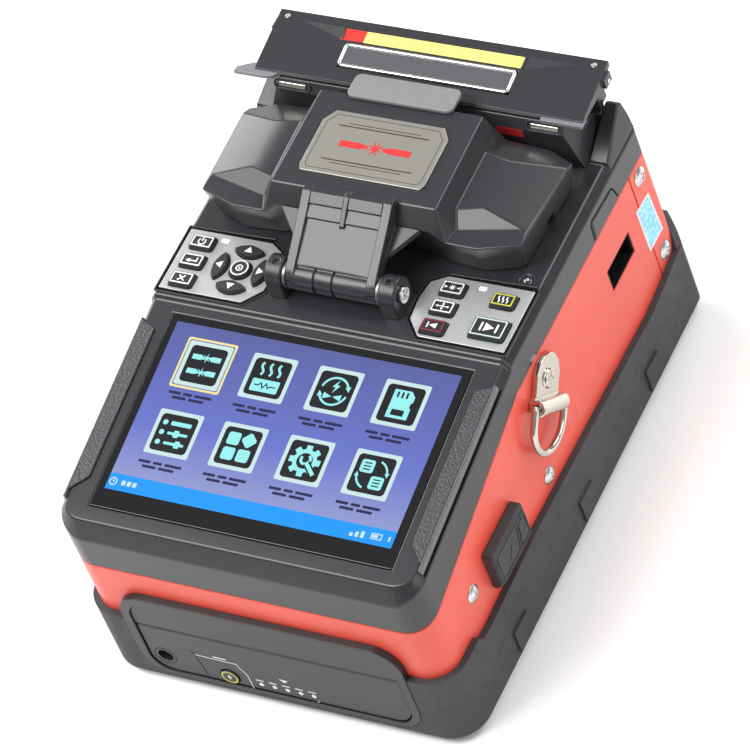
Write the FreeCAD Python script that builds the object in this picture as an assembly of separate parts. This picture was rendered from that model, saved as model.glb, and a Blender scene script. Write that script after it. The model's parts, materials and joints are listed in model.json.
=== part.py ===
"""Fiber fusion splicer, in millimetres.

Frame: origin on the resting plane under the middle of the body, +X to the
operator's right, +Y to the back, +Z up.  The display end faces -Y.
"""
import FreeCAD, Part
import math
import os

V = FreeCAD.Vector

# ---------------------------------------------------------------- driving sizes
LCD_W = 108.0            # active area of a 5 inch display
LCD_H = 64.8
BODY_W = 136.0           # painted housing, side to side
BODY_Y0 = -95.0          # front face of the painted housing
BODY_Y1 = 96.2           # back face of the painted housing
DECK_Z = 94.5            # level part of the top frame
SKIRT_Z = 80.0           # lower edge of the top frame's skirt at the back
SKIRT_FRONT_Z = 58.0     # the same edge at the front
SKIRT_BEND_Y = -10.0     # where the edge turns from level to sloping
WALL = 2.2               # painted housing's wall
BOOT_T = 2.4             # rubber bumper's wall
BOOT_GAP = 0.1           # between bumper and housing
BOOT_FLOOR = 2.5         # rubber under the base plate
CORNER_R = 10.0          # housing's front corners, seen from above
REAR_R = 2.5             # its rear corners
TILT = math.radians(9.57)    # display slope
HINGE_Y = 5.0            # windshield hinge shaft
HINGE_Z = 101.0
SHAFT_R = 2.5
RUN_GAP = 0.05           # radial clearance of a running fit
LID_HINGE_Y = 96.0       # heater lid hinge pins
LID_HINGE_Z = 113.5
KEY_TRAVEL = 0.8
KEY_GAP = 0.2            # around each key cap

HALF_W = BODY_W / 2
LENS_Y1 = -13.5          # back edge of the display glass
LENS_Z1 = 92.3
LENS_Y0 = -85.9          # front edge of the display glass
LENS_HALF_W = 56.6
LENS_T = 1.2

# splice chamber, cut through the deck under the windshield
CH_X = 55.5
CH_Y0 = 30.5
CH_Y1 = 67.5
CH_FLOOR = 76.0

# battery bay
BAY_X = 50.0
BAY_Z0 = 7.0
BAY_Z1 = 31.4
COVER_Z1 = 44.0
BAY_DEPTH_Y = 18.0
FACE_Y = -97.2           # battery's front face
BAY_R = 8.0              # rounded corners of the bay's mouth
BEZEL_X = BAY_X + 3.4
BEZEL_R = 10.0

# heater block behind the windshield
HEAT_X = 60.0
HEAT_Y0 = 73.0
HEAT_Y1 = 94.0
HEAT_Z1 = 111.5
HEAT_CHAMFER = ((74.2, 108.0), (76.5, HEAT_Z1))


# ---------------------------------------------------------------- small helpers
def box(x0, x1, y0, y1, z0, z1):
    return Part.makeBox(x1 - x0, y1 - y0, z1 - z0, V(x0, y0, z0))


def cylinder(at, axis, radius, length):
    return Part.makeCylinder(radius, length, V(*at), V(*axis))


def polygon_prism(points, travel):
    wire = Part.makePolygon([V(*p) for p in points] + [V(*points[0])])
    return Part.Face(wire).extrude(V(*travel))


def prism_x(yz, x0, x1):
    return polygon_prism([(x0, y, z) for y, z in yz], (x1 - x0, 0, 0))


def prism_y(xz, y0, y1):
    return polygon_prism([(x, y0, z) for x, z in xz], (0, y1 - y0, 0))


def prism_z(xy, z0, z1):
    return polygon_prism([(x, y, z0) for x, y in xy], (0, 0, z1 - z0))


def rounded_plan(x0, x1, y0, y1, radius, z0, z1):
    """Upright block with rounded corners seen from above."""
    block = box(x0, x1, y0, y1, z0, z1)
    upright = [e for e in block.Edges if abs(e.Vertexes[0].Z - e.Vertexes[1].Z) > 0.5 * (z1 - z0)]
    return block.makeFillet(radius, upright)


def body_plan(grow, z0, z1):
    """The housing's outline seen from above, moved outwards by grow, as an upright block."""
    block = box(-HALF_W - grow, HALF_W + grow, BODY_Y0 - grow, BODY_Y1 + grow, z0, z1)
    upright = [e for e in block.Edges if abs(e.Vertexes[0].Z - e.Vertexes[1].Z) > 0.5 * (z1 - z0)]
    front = [e for e in upright if e.BoundBox.YMax < 0]
    block = block.makeFillet(CORNER_R + grow, front)
    upright = [e for e in block.Edges if abs(e.Vertexes[0].Z - e.Vertexes[-1].Z) > 0.5 * (z1 - z0)]
    rear = [e for e in upright if e.BoundBox.YMin > BODY_Y1 + grow - 0.01]
    return block.makeFillet(max(0.4, REAR_R + grow), rear)


def rounded_side(x0, x1, y0, y1, z0, z1, radius):
    """Block with its four edges along X rounded."""
    block = box(x0, x1, y0, y1, z0, z1)
    along = [e for e in block.Edges if abs(e.Vertexes[0].X - e.Vertexes[1].X) > 0.5 * (x1 - x0)]
    return block.makeFillet(radius, along)


def rounded_front(x0, x1, y0, y1, z0, z1, radius):
    """Block with its four edges along Y rounded."""
    block = box(x0, x1, y0, y1, z0, z1)
    along = [e for e in block.Edges if abs(e.Vertexes[0].Y - e.Vertexes[1].Y) > 0.5 * (y1 - y0)]
    return block.makeFillet(radius, along)


def mirrored(shape):
    return shape.mirror(V(0, 0, 0), V(1, 0, 0))


def both_sides(shape):
    return Part.makeCompound([shape, mirrored(shape)])


def fused(*shapes):
    body = shapes[0]
    for other in shapes[1:]:
        body = body.fuse(other)
    return body.removeSplitter()


def cut(body, *tools):
    for tool in tools:
        body = body.cut(tool)
    return body.removeSplitter()


def on_slope(y, lift=0.0):
    """Height of the display slope at y, raised square to it by lift."""
    return LENS_Z1 + (y - LENS_Y1) * math.tan(TILT) + lift / math.cos(TILT)


def sloped_block(x0, x1, y0, y1, lift0, lift1):
    """Block lying along the display slope between two heights above it."""
    lower = [(y0, on_slope(y0, lift0)), (y1, on_slope(y1, lift0))]
    upper = [(y1, on_slope(y1, lift1)), (y0, on_slope(y0, lift1))]
    return prism_x(lower + upper, x0, x1)


def triangle_solid(points, triangles):
    """Closed solid from named corners and the faces between them."""
    faces = []
    for names in triangles:
        corners = [V(*points[n]) for n in names]
        faces.append(Part.Face(Part.makePolygon(corners + [corners[0]])))
    solid = Part.Solid(Part.Shell(faces))
    if solid.Volume < 0:
        solid.reverse()
    return solid


NODES = {}


def node(name, shape):
    NODES[name] = shape


# ---------------------------------------------------------------- housing
def bumper():
    """Black rubber boot: floor, low walls, taller corners, front gap for the bay."""
    out_x = HALF_W + BOOT_GAP + BOOT_T
    y0, y1 = BODY_Y0 - BOOT_GAP - BOOT_T, BODY_Y1 + BOOT_GAP + BOOT_T
    outer = body_plan(BOOT_GAP + BOOT_T, 0, 46)
    foot = [e for e in outer.Edges if e.BoundBox.ZMax < 0.01]
    outer = outer.makeChamfer(3.4, foot)
    hollow = body_plan(BOOT_GAP, BOOT_FLOOR, 50)
    rim = [(y0 - 1, 33.5), (-76, 33.5), (-73.5, 30.5), (-68, 30.1), (-30, 31.7), (36, 29.4),
           (66, 28.2), (80, 29.8), (92.5, 32.0), (BODY_Y1, 45), (y1 + 1, 45), (y1 + 1, 50), (y0 - 1, 50)]
    corner = prism_y([(HALF_W - 1.5, 46), (HALF_W + 2.0, 32), (80, 32), (80, 50), (HALF_W - 1.5, 50)],
                     BODY_Y1 - 4, y1 + 1)
    body = cut(outer, hollow, prism_x(rim, -80, 80), corner, mirrored(corner))
    bay = rounded_front(-BEZEL_X - 0.2, BEZEL_X + 0.2, y0 - 1, BODY_Y0 + 1, BAY_Z0 - 1.4, 80, BEZEL_R + 0.2)
    rear_dip = box(-52, 52, BODY_Y1 - 1, y1 + 1, 32, 60)
    body = cut(body, bay, rear_dip)
    ribs = []
    for y in (-55, 0, 57):
        for side in (1, -1):
            x = side * out_x
            ribs.append(box(min(x, x + side * 0.9), max(x, x + side * 0.9), y - 5, y + 5, 5, 15))
    return fused(body, *ribs)


def base_plate():
    """Metal floor with posts that carry the main board."""
    plate = body_plan(-WALL - 0.1, BOOT_FLOOR, BOOT_FLOOR + 1.6)
    posts = [cylinder((x, y, BOOT_FLOOR + 1), (0, 0, 1), 3, BOARD_Z - BOOT_FLOOR - 1)
             for x in (-59, 59) for y in (-70, 0, 66)]
    return fused(plate, *posts)


def housing_ring(y_from, y_to):
    """The painted wall between two cross planes, cut to the skirt line of the top frame."""
    outer = body_plan(0, BOOT_FLOOR, SKIRT_Z)
    inner = body_plan(-WALL, BOOT_FLOOR - 1, SKIRT_Z + 1)
    above = [(BODY_Y0, SKIRT_FRONT_Z), (SKIRT_BEND_Y, SKIRT_Z), (BODY_Y1 + 5, SKIRT_Z),
             (BODY_Y1 + 5, SKIRT_Z + 30), (BODY_Y0 - 5, SKIRT_Z + 30), (BODY_Y0 - 5, SKIRT_FRONT_Z)]
    ring = cut(outer, inner, prism_x(above, -90, 90))
    return ring.common(box(-90, 90, y_from, y_to, -10, 200))


FLANGE_Y = 82.5
SEAM = 0.5
PORT_Y = (-56.0, -35.0)
PORT_Z = (37.5, 51.0)
SLOT_Y = (55.0, 73.0)
SLOT_Z = (54.0, 64.0)


def side_shell():
    """Painted wrap: both sides and the front, with the bay and port openings."""
    ring = housing_ring(BODY_Y0 - 1, FLANGE_Y)
    bay = rounded_front(-BAY_X - 1.5, BAY_X + 1.5, BODY_Y0 - 2, BODY_Y0 + 6, BOOT_FLOOR - 14,
                        COVER_Z1 + 1.6, 9)
    port = box(HALF_W - 4, HALF_W + 1, PORT_Y[0], PORT_Y[1], PORT_Z[0], PORT_Z[1])
    slot = box(HALF_W - 4, HALF_W + 1, SLOT_Y[0], SLOT_Y[1], SLOT_Z[0], SLOT_Z[1])
    return cut(ring, bay, port, slot)


def rear_panel():
    """Painted back cover, wrapped round the two rear corners, with cooling slots."""
    ring = housing_ring(FLANGE_Y + SEAM, BODY_Y1 + 1)
    slots = [box(x - 1.2, x + 1.2, BODY_Y1 - 4, BODY_Y1 + 1, 50, 68) for x in range(-24, 25, 6)]
    return cut(ring, *slots)


STEP_Y0, STEP_Y1 = -9.4, -8.4    # low step between the display slope and the deck
EDGE_BEVEL = 2.6
BEVEL_FALL = 1.23                # how far the bevel drops for its width


NOSE_Y = -91.6                   # where the slope meets the steep front band
NOSE_Z = 72.0                    # lower edge of that band


def front_profile():
    """Side outline of the top frame, (y, z), from the front skirt to the back."""
    return [(BODY_Y0, SKIRT_FRONT_Z), (BODY_Y0, NOSE_Z), (NOSE_Y, on_slope(NOSE_Y)),
            (STEP_Y0, on_slope(STEP_Y0)), (STEP_Y1, DECK_Z), (BODY_Y1, DECK_Z), (BODY_Y1, SKIRT_Z),
            (SKIRT_BEND_Y, SKIRT_Z)]


def edge_bevels():
    """Cutters for the bevel along the top's right-hand edge: slope, step and deck."""
    spans = [(BODY_Y0, on_slope(BODY_Y0)), (STEP_Y0, on_slope(STEP_Y0)), (STEP_Y1, DECK_Z), (BODY_Y1 + 1, DECK_Z)]
    drop = EDGE_BEVEL * BEVEL_FALL
    section = [(HALF_W - EDGE_BEVEL, 0), (HALF_W - EDGE_BEVEL, 4), (HALF_W + EDGE_BEVEL, 4),
               (HALF_W + EDGE_BEVEL, -2 * drop)]
    cutters = []
    for (y0, z0), (y1, z1) in zip(spans, spans[1:]):
        cutters.append(polygon_prism([(x, y0, z0 + dz) for x, dz in section], (0, y1 - y0, z1 - z0)))
    cutters.append(corner_bevel())
    return cutters


def corner_bevel():
    """Cutter that carries the front band round the right-hand corner into the side bevel."""
    cx, cy = HALF_W - CORNER_R, BODY_Y0 + CORNER_R
    front_in, side_in = cy - NOSE_Y, CORNER_R - EDGE_BEVEL
    side_z = on_slope(cy) - EDGE_BEVEL * BEVEL_FALL
    sections = []
    steps = 6
    for i in range(steps + 1):
        turn = math.pi / 2 * i / steps
        share = (1 - math.cos(2 * turn)) / 2
        inner = front_in + (side_in - front_in) * share
        top = on_slope(cy - inner * math.cos(turn))
        edge = NOSE_Z + (side_z - NOSE_Z) * share
        far = top + (edge - top) * (CORNER_R + 2 - inner) / (CORNER_R - inner)
        ring = [(inner, top), (inner, top + 4), (CORNER_R + 2, top + 4), (CORNER_R + 2, far)]
        points = [V(cx + r * math.sin(turn), cy - r * math.cos(turn), z) for r, z in ring]
        sections.append(Part.makePolygon(points + points[:1]))
    return Part.makeLoft(sections, True, True)


def rear_ramp():
    """Fairing at a rear corner: it climbs from the deck to the back beside the heater block."""
    front_y, crest_z = 75.7, 104.0
    climb = prism_x([(front_y, DECK_Z - 2), (front_y, DECK_Z + 0.8), (94.5, crest_z), (BODY_Y1, crest_z - 1),
                     (BODY_Y1, DECK_Z - 2)], 60, HALF_W)
    section = [(60.2, DECK_Z - 2), (60.2, crest_z), (HALF_W - 3.1, crest_z), (HALF_W - 0.6, DECK_Z),
               (HALF_W - 0.1, DECK_Z - 2)]
    return climb.common(prism_y(section, front_y, BODY_Y1))


def top_frame():
    """Moulded upper housing: sloped display end, level deck, skirt and rear posts."""
    plan = body_plan(0, 40, 120)
    outer = prism_x(front_profile(), -HALF_W, HALF_W).common(plan)
    for bevel in edge_bevels():
        outer = outer.cut(bevel).cut(mirrored(bevel))

    t = 3.0
    hollow_yz = [(BODY_Y0 + t, SKIRT_FRONT_Z - 20), (BODY_Y0 + t, 69.5), (-89.5, on_slope(-89.5, -t - LENS_T)),
                 (-10, on_slope(-10, -t - LENS_T)), (-7.5, DECK_Z - t), (BODY_Y1 - t, DECK_Z - t),
                 (BODY_Y1 - t, 20)]
    hollow = prism_x(hollow_yz, -HALF_W + t, HALF_W - t)
    hollow = hollow.common(body_plan(-t, 10, 120))
    ramp = rear_ramp().common(plan)
    body = fused(cut(outer, hollow), ramp, mirrored(ramp))

    lens_pocket = sloped_block(-LENS_HALF_W - 0.1, LENS_HALF_W + 0.1, LENS_Y0 - 0.1, LENS_Y1 + 0.1,
                               -LENS_T, 5)
    window = sloped_block(-LCD_W / 2 - 1, LCD_W / 2 + 1, LENS_Y0 + 5, LENS_Y1 - 0.8, -12, 1)
    chamber = box(-CH_X, CH_X, CH_Y0, CH_Y1, CH_FLOOR - 4, 120)
    body = cut(body, lens_pocket, window, chamber)
    for cap in key_caps().values():
        body = body.cut(cap["hole"])
    body = body.cut(cylinder((DECK_SCREW[0], DECK_SCREW[1], DECK_Z - 1.6), (0, 0, 1), 1.9, 5))
    return body.removeSplitter()


def deck_screw():
    """Sunk screw behind the right-hand key plate."""
    x, y = DECK_SCREW
    head = cylinder((x, y, DECK_Z - 1.6), (0, 0, 1), 1.8, 1.0)
    return cut(head, cylinder((x, y, DECK_Z - 1.1), (0, 0, 1), 0.8, 2))


def cross_slot(at, axis_x, size, depth):
    """Two crossed bars, to cut a Phillips recess in a screw head whose axis is X."""
    x, y, z = at
    lo, hi = sorted((x, x - axis_x * depth))
    a = box(lo, hi + 0.01, y - size, y + size, z - size * 0.22, z + size * 0.22)
    b = box(lo, hi + 0.01, y - size * 0.22, y + size * 0.22, z - size, z + size)
    return a.fuse(b)


def side_screw(y, z, radius):
    """Domed screw head on the right-hand wall."""
    dome = Part.makeSphere(radius * 1.45, V(HALF_W - radius * 1.45 + 1.5, y, z))
    head = cylinder((HALF_W, y, z), (1, 0, 0), radius, 1.6).common(dome)
    return cut(head, cross_slot((HALF_W + 1.6, y, z), 1, radius * 0.5, 0.9))


DECK_SCREW = (59.6, 24.4)
SIDE_SCREWS = [(88.6, 74.6, 3.6), (88.6, 36.4, 3.6), (-10.7, 37.1, 3.3), (-67.5, 46.4, 3.3)]    # y, z, radius


def case_screws():
    """Fasteners of the housing: four in each side wall and one in the deck."""
    heads = [side_screw(y, z, r) for y, z, r in SIDE_SCREWS]
    return Part.makeCompound(heads + [mirrored(h) for h in heads] + [deck_screw()])


# ---------------------------------------------------------------- display
def lcd_lens():
    return sloped_block(-LENS_HALF_W, LENS_HALF_W, LENS_Y0, LENS_Y1, -LENS_T, 0)


def lcd_panel():
    mid = (-79.6 - 15.4) / 2
    half = LCD_H / 2 * math.cos(TILT)
    return sloped_block(-LCD_W / 2, LCD_W / 2, mid - half, mid + half, -LENS_T - 4.5, -LENS_T)


def grip_strips():
    """Textured rubber strips beside the display."""
    plan = [(60.4, -20.5), (66.0, -18.2), (66.0, -82.5), (60.4, -76.6)]
    column = prism_z(plan, 70, 100)
    strip = column.common(sloped_block(50, 70, -86, -15, 0, 0.9))
    return both_sides(strip)


# ---------------------------------------------------------------- keys
PLATE_T = 0.5
KEY_TOP = DECK_Z + PLATE_T + 1.5
KEY_LOW = DECK_Z - 3.6
LEFT_KEYS_X = -57.8
RIGHT_KEYS_X = 37.4
COLUMN_Y = (14.6, 6.5, -1.6)
PAD_X = -39.5
PAD_Y = 6.7


def key_block(x, y, w, d, grow, z0, z1):
    half_w, half_d = w / 2 + grow, d / 2 + grow
    return rounded_plan(x - half_w, x + half_w, y - half_d, y + half_d, 1.1 + grow, z0, z1)


def arrow_block(direction, grow, z0, z1):
    """Lens-shaped pad key, a slice of a ring round the centre key."""
    dx, dy = direction
    across = (-dy, dx)
    mid = 7.7
    half, bulge = 5.7 + grow, 2.75 + grow
    c = (PAD_X + dx * mid, PAD_Y + dy * mid)
    ends = [(c[0] + s * across[0] * half, c[1] + s * across[1] * half) for s in (-1, 1)]
    outer = (c[0] + dx * bulge, c[1] + dy * bulge)
    inner = (c[0] - dx * bulge, c[1] - dy * bulge)
    first = Part.Arc(V(*ends[0], z0), V(*outer, z0), V(*ends[1], z0)).toShape()
    second = Part.Arc(V(*ends[1], z0), V(*inner, z0), V(*ends[0], z0)).toShape()
    return Part.Face(Part.Wire([first, second])).extrude(V(0, 0, z1 - z0))


def key_caps():
    """Every key: its cap, and the hole that the plate and deck need for it."""
    blocks = {
        "power_key": (LEFT_KEYS_X, COLUMN_Y[0], 9.0, 6.0),
        "enter_key": (LEFT_KEYS_X, COLUMN_Y[1], 9.0, 6.0),
        "cancel_key": (LEFT_KEYS_X, COLUMN_Y[2], 9.0, 6.0),
        "arc_key": (RIGHT_KEYS_X, COLUMN_Y[0], 9.0, 6.0),
        "view_key": (RIGHT_KEYS_X, COLUMN_Y[1], 9.0, 6.0),
        "reset_key": (RIGHT_KEYS_X, COLUMN_Y[2], 9.0, 6.0),
        "heat_key": (56.6, 13.5, 9.0, 6.0),
        "splice_key": (56.6, 1.6, 13.0, 8.6),
    }
    caps = {}
    for name, (x, y, w, d) in blocks.items():
        caps[name] = {"cap": key_block(x, y, w, d, 0, KEY_LOW, KEY_TOP),
                      "hole": key_block(x, y, w, d, KEY_GAP, KEY_LOW - 5, KEY_TOP + 5)}
    arrows = {"up_key": (0, 1), "down_key": (0, -1), "left_key": (-1, 0), "right_key": (1, 0)}
    for name, direction in arrows.items():
        caps[name] = {"cap": arrow_block(direction, 0, KEY_LOW, KEY_TOP),
                      "hole": arrow_block(direction, KEY_GAP, KEY_LOW - 5, KEY_TOP + 5)}
    ok_r = 4.0
    caps["ok_key"] = {"cap": cylinder((PAD_X, PAD_Y, KEY_LOW), (0, 0, 1), ok_r, KEY_TOP - KEY_LOW),
                      "hole": cylinder((PAD_X, PAD_Y, KEY_LOW - 5), (0, 0, 1), ok_r + KEY_GAP, 20)}
    return caps


def key_plate(side):
    """Silver trim plate, pointed towards the hinge, pierced for the keys."""
    outline = [(65.1, -5.9), (65.1, 19.9), (33.4, 19.9), (27.9, 16.4), (26.9, 9.0), (27.6, 0.5), (33.4, -5.9)]
    plate = prism_z([(side * x, y) for x, y in outline], DECK_Z, DECK_Z + PLATE_T)
    for cap in key_caps().values():
        plate = plate.cut(cap["hole"])
    return plate.removeSplitter()


# ---------------------------------------------------------------- windshield hinge
ARM_X0 = 13.6
ARM_X1 = 16.9
BOSS_X0 = 18.3
BOSS_X1 = 24.4
BARREL_R = 5.0


def hinge_shaft():
    shaft = cylinder((-25.4, HINGE_Y, HINGE_Z), (1, 0, 0), SHAFT_R, 50.8)
    head = cylinder((24.45, HINGE_Y, HINGE_Z), (1, 0, 0), 3.0, 1.2)
    head = cut(head, cross_slot((25.65, HINGE_Y, HINGE_Z), 1, 1.9, 0.8))
    return fused(shaft.common(box(-25.4, 24.9, -50, 50, 50, 150)), head)


def hinge_bosses():
    """Two fixed bearing blocks on the deck, each with a set screw on top."""
    barrel = cylinder((BOSS_X0, HINGE_Y, HINGE_Z), (1, 0, 0), 6.0, BOSS_X1 - BOSS_X0)
    foot = box(BOSS_X0, BOSS_X1, HINGE_Y - 6, HINGE_Y + 6, DECK_Z, HINGE_Z)
    bore = cylinder((BOSS_X0 - 1, HINGE_Y, HINGE_Z), (1, 0, 0), SHAFT_R, 12)
    screw_hole = cylinder((21.3, HINGE_Y, HINGE_Z + 5.2), (0, 0, 1), 1.3, 3)
    return both_sides(cut(fused(barrel, foot), bore, screw_hole))


def hinge_washers():
    ring = cylinder((ARM_X1 + 0.1, HINGE_Y, HINGE_Z), (1, 0, 0), 5.2, BOSS_X0 - ARM_X1 - 0.2)
    bore = cylinder((ARM_X1 - 1, HINGE_Y, HINGE_Z), (1, 0, 0), SHAFT_R + 0.01, 5)
    return both_sides(cut(ring, bore))


PLATE_FOOT = (5.6, 107.0)    # y, z where the bracket's plate leaves the barrel
PLATE_RISE = math.radians(29.86)


def on_plate(along, lift):
    """(y, z) of a point of the bracket's plate, along its slope and square to it."""
    c, s = math.cos(PLATE_RISE), math.sin(PLATE_RISE)
    return PLATE_FOOT[0] + along * c - lift * s, PLATE_FOOT[1] + along * s + lift * c


def gusset():
    """Triangular web between an arm and the front of the windshield."""
    plan = prism_z([(ARM_X1 - 0.2, 12.5), (26.2, 23.2), (ARM_X1 - 0.2, 23.2)], 90, 130)
    slab = prism_x([(12.0, 108.4), (23.2, 112.9), (23.2, 111.0), (12.0, 106.6)], 10, 30)
    return plan.common(slab)


def hinge_bracket():
    """Moving half of the hinge: barrel, two arms, a plate in two steps, a cross bar and a rib."""
    panel, bar = 15.2, 19.9
    plate_yz = [(28.4, 120.3), (28.4, 118.45), (23.3, 112.45), (18.5, 110.2), (8.0, 104.2), (5.0, 102.0),
                (3.0, 104.0), on_plate(0, 0), on_plate(panel, 0), on_plate(panel, 0.6), on_plate(bar, 0.6),
                on_plate(bar, 1.2), (25.4, 120.3)]
    plate = prism_x(plate_yz, -ARM_X0, ARM_X0)
    arm_yz = [(28.4, 120.5), (28.4, 118.45), (23.3, 112.45), (18.5, 110.2), (9.4, 104.9), (9.0, 101.0),
              (5.0, 100.0), (0.4, 103.0), (3.2, 106.6), (20.6, 117.0), (25.6, 120.5)]
    arms = [prism_x(arm_yz, ARM_X0, ARM_X1), prism_x(arm_yz, -ARM_X1, -ARM_X0)]
    barrel = cylinder((-ARM_X1, HINGE_Y, HINGE_Z), (1, 0, 0), BARREL_R, 2 * ARM_X1)
    grooves = []
    for x in (-6.3, 0.7):
        ring = cylinder((x - 0.35, HINGE_Y, HINGE_Z), (1, 0, 0), BARREL_R + 1, 0.7)
        core = cylinder((x - 0.35, HINGE_Y, HINGE_Z), (1, 0, 0), BARREL_R - 0.6, 0.7)
        grooves.append(ring.cut(core).common(box(-20, 20, -9, 5.4, 90, 106.2)))
    rib_yz = [on_plate(13.4, -0.5), on_plate(14.0, 0.9), on_plate(bar, 1.6), (25.3, 120.7), (28.0, 120.7),
              (28.0, 118.5)]
    rib = prism_x(rib_yz, -0.9, 0.9)
    web = gusset()
    bore = cylinder((-30, HINGE_Y, HINGE_Z), (1, 0, 0), SHAFT_R + RUN_GAP, 60)
    return cut(fused(plate, barrel, *arms, rib, web, mirrored(web)), bore, *grooves)


# ---------------------------------------------------------------- windshield
def windshield_outside():
    """Faceted cover: raised centre box, two wings and a drawn-in lower wall."""
    base = DECK_Z + 0.4
    right = {
        "top_f": (30.9, 28.5, 118.4), "top_b": (30.6, 68.5, 119.4),
        "apron": (28.7, 23.3, 112.3), "brim_in": (34.3, 22.7, 108.4), "brim_mid": (45.9, 22.3, 108.9),
        "brim_out": (60.3, 27.1, 108.6), "facet_in": (34.8, 33.9, 113.0), "facet_low": (36.3, 28.4, 109.1),
        "facet_mid": (43.9, 36.3, 113.4), "facet_out": (59.3, 33.2, 109.3),
        "crease_in": (35.0, 58.0, 113.8), "crease_out": (44.8, 56.5, 113.6),
        "side_b": (61.9, 62.0, 107.6), "rear_out": (61.6, 65.6, 106.0), "rear_mid": (51.5, 69.6, 106.0),
        "rear_in": (35.0, 70.6, 106.0),
        "foot_c": (26.5, 27.6, base), "foot_in": (31.5, 25.6, base), "foot_mid": (45.4, 24.8, base),
        "foot_out": (57.4, 28.6, base), "foot_side": (59.3, 60.5, base), "foot_back": (59.0, 64.0, base),
        "foot_bm": (50.8, 68.2, base), "foot_bi": (35.0, 69.4, base),
    }
    faces = [
        ("top_f", "brim_in", "apron"), ("top_f", "facet_in", "facet_low"), ("top_f", "facet_low", "brim_in"),
        ("top_f", "crease_in", "facet_in"), ("top_f", "top_b", "crease_in"), ("top_b", "rear_in", "crease_in"),
        ("facet_in", "facet_mid", "facet_low"), ("facet_mid", "facet_out", "facet_low"),
        ("facet_low", "brim_mid", "brim_in"), ("facet_low", "facet_out", "brim_mid"),
        ("facet_out", "brim_out", "brim_mid"), ("facet_in", "crease_in", "facet_mid"),
        ("crease_in", "crease_out", "facet_mid"), ("facet_mid", "side_b", "facet_out"),
        ("facet_mid", "crease_out", "side_b"), ("facet_out", "side_b", "brim_out"),
        ("crease_out", "rear_out", "side_b"), ("crease_out", "rear_mid", "rear_out"),
        ("crease_out", "crease_in", "rear_mid"), ("crease_in", "rear_in", "rear_mid"),
    ]
    rim = ["apron", "brim_in", "brim_mid", "brim_out", "side_b", "rear_out", "rear_mid", "rear_in"]
    feet = ["foot_c", "foot_in", "foot_mid", "foot_out", "foot_side", "foot_back", "foot_bm", "foot_bi"]
    for i in range(len(rim) - 1):
        faces.append((rim[i], rim[i + 1], feet[i]))
        faces.append((rim[i + 1], feet[i + 1], feet[i]))
    points = dict(right)
    for name, (x, y, z) in right.items():
        points["-" + name] = (-x, y, z)
    faces += [tuple("-" + n for n in reversed(f)) for f in faces]
    faces += [("-top_f", "top_f", "top_b", "-top_b"), ("-apron", "apron", "top_f", "-top_f"),
              ("-foot_c", "foot_c", "apron", "-apron"), ("top_b", "rear_in", "-rear_in", "-top_b"),
              ("rear_in", "foot_bi", "-foot_bi", "-rear_in")]
    faces.append(tuple(feet) + tuple("-" + n for n in reversed(feet)))
    return triangle_solid(points, faces)


def windshield():
    low = DECK_Z - 1
    wings = box(-54, 54, 32.0, 62.0, low, 105.0)
    clamps = box(-43.6, 43.6, 40.0, 59.5, low, 110.6)
    centre = prism_y([(-30, low), (-30, 105), (-26.5, 114.5), (26.5, 114.5), (30, 105), (30, low)], 31.5, 64.5)
    fiber_way = box(-80, 80, 46.0, 50.0, low, 98.5)
    return cut(windshield_outside(), wings, clamps, centre, fiber_way)


def nameplate():
    """Silver plate with two larger corners cut off at the back; it carries no lettering."""
    outline = [(-22.5, 34.3), (22.5, 34.3), (23.6, 36.6), (23.6, 56.0), (20.4, 60.5), (-20.4, 60.5),
               (-23.6, 56.0), (-23.6, 36.6)]
    column = prism_z(outline, 110, 130)
    slope = 1.0 / 40.0
    lower = [(28, 118.3875), (70, 118.3875 + 42 * slope)]
    band = prism_x([lower[0], lower[1], (70, lower[1][1] + 0.8), (28, lower[0][1] + 0.8)], -30, 30)
    return column.common(band)


def lift_tab():
    """Light grey tongue on the back edge of the windshield."""
    plan = rounded_plan(-20, 20, 66.5, 76.6, 2.4, 119.36, 121.0)
    under = prism_x([(60, 119.1875), (68.5, 119.4), (68.5, 117), (60, 117)], -30, 30)
    return cut(plan, under)


# ---------------------------------------------------------------- heater
def heater_body():
    """Block behind the chamber with a long trough for the protection sleeve."""
    profile = [(HEAT_Y0, DECK_Z), *HEAT_CHAMFER, (HEAT_Y1, HEAT_Z1 + 0.6), (HEAT_Y1, DECK_Z)]
    block = prism_x(profile, -HEAT_X, HEAT_X)
    slant = [(HEAT_X, DECK_Z + 0.5), (HEAT_X - 6.9, HEAT_Z1 + 1), (HEAT_X + 2, HEAT_Z1 + 1), (HEAT_X + 2, DECK_Z)]
    taper = prism_y(slant, HEAT_Y0 - 1, 90.0)
    block = cut(block, taper, mirrored(taper))
    trough = box(-HEAT_X - 1, HEAT_X + 1, 82.5, 91.5, 102.5, 120)
    ends = [box(s * 47 - 5, s * 47 + 5, 80.0, 82.6, 105, 120) for s in (1, -1)]
    ears = []
    for side in (1, -1):
        x0, x1 = sorted((side * 58.4, side * 60.0))
        ear = box(x0, x1, 92.6, 97.0, 104, LID_HINGE_Z).fuse(
            cylinder((x0, LID_HINGE_Y - 0.6, LID_HINGE_Z), (1, 0, 0), 1.6, x1 - x0))
        ears.append(ear)
    return cut(fused(block, *ears), trough, *ends,
               cylinder((-70, LID_HINGE_Y, LID_HINGE_Z), (1, 0, 0), 0.8 + RUN_GAP, 140))


def heater_tray():
    """Aluminium heating channel lying in the trough."""
    outer = box(-42, 42, 82.5, 91.5, 102.5, 110.0)
    inner = box(-43, 43, 83.7, 90.3, 103.7, 112)
    return cut(outer, inner)


def heater_pins():
    return both_sides(cylinder((58.0, LID_HINGE_Y, LID_HINGE_Z), (1, 0, 0), 0.8, 5.6))


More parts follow.
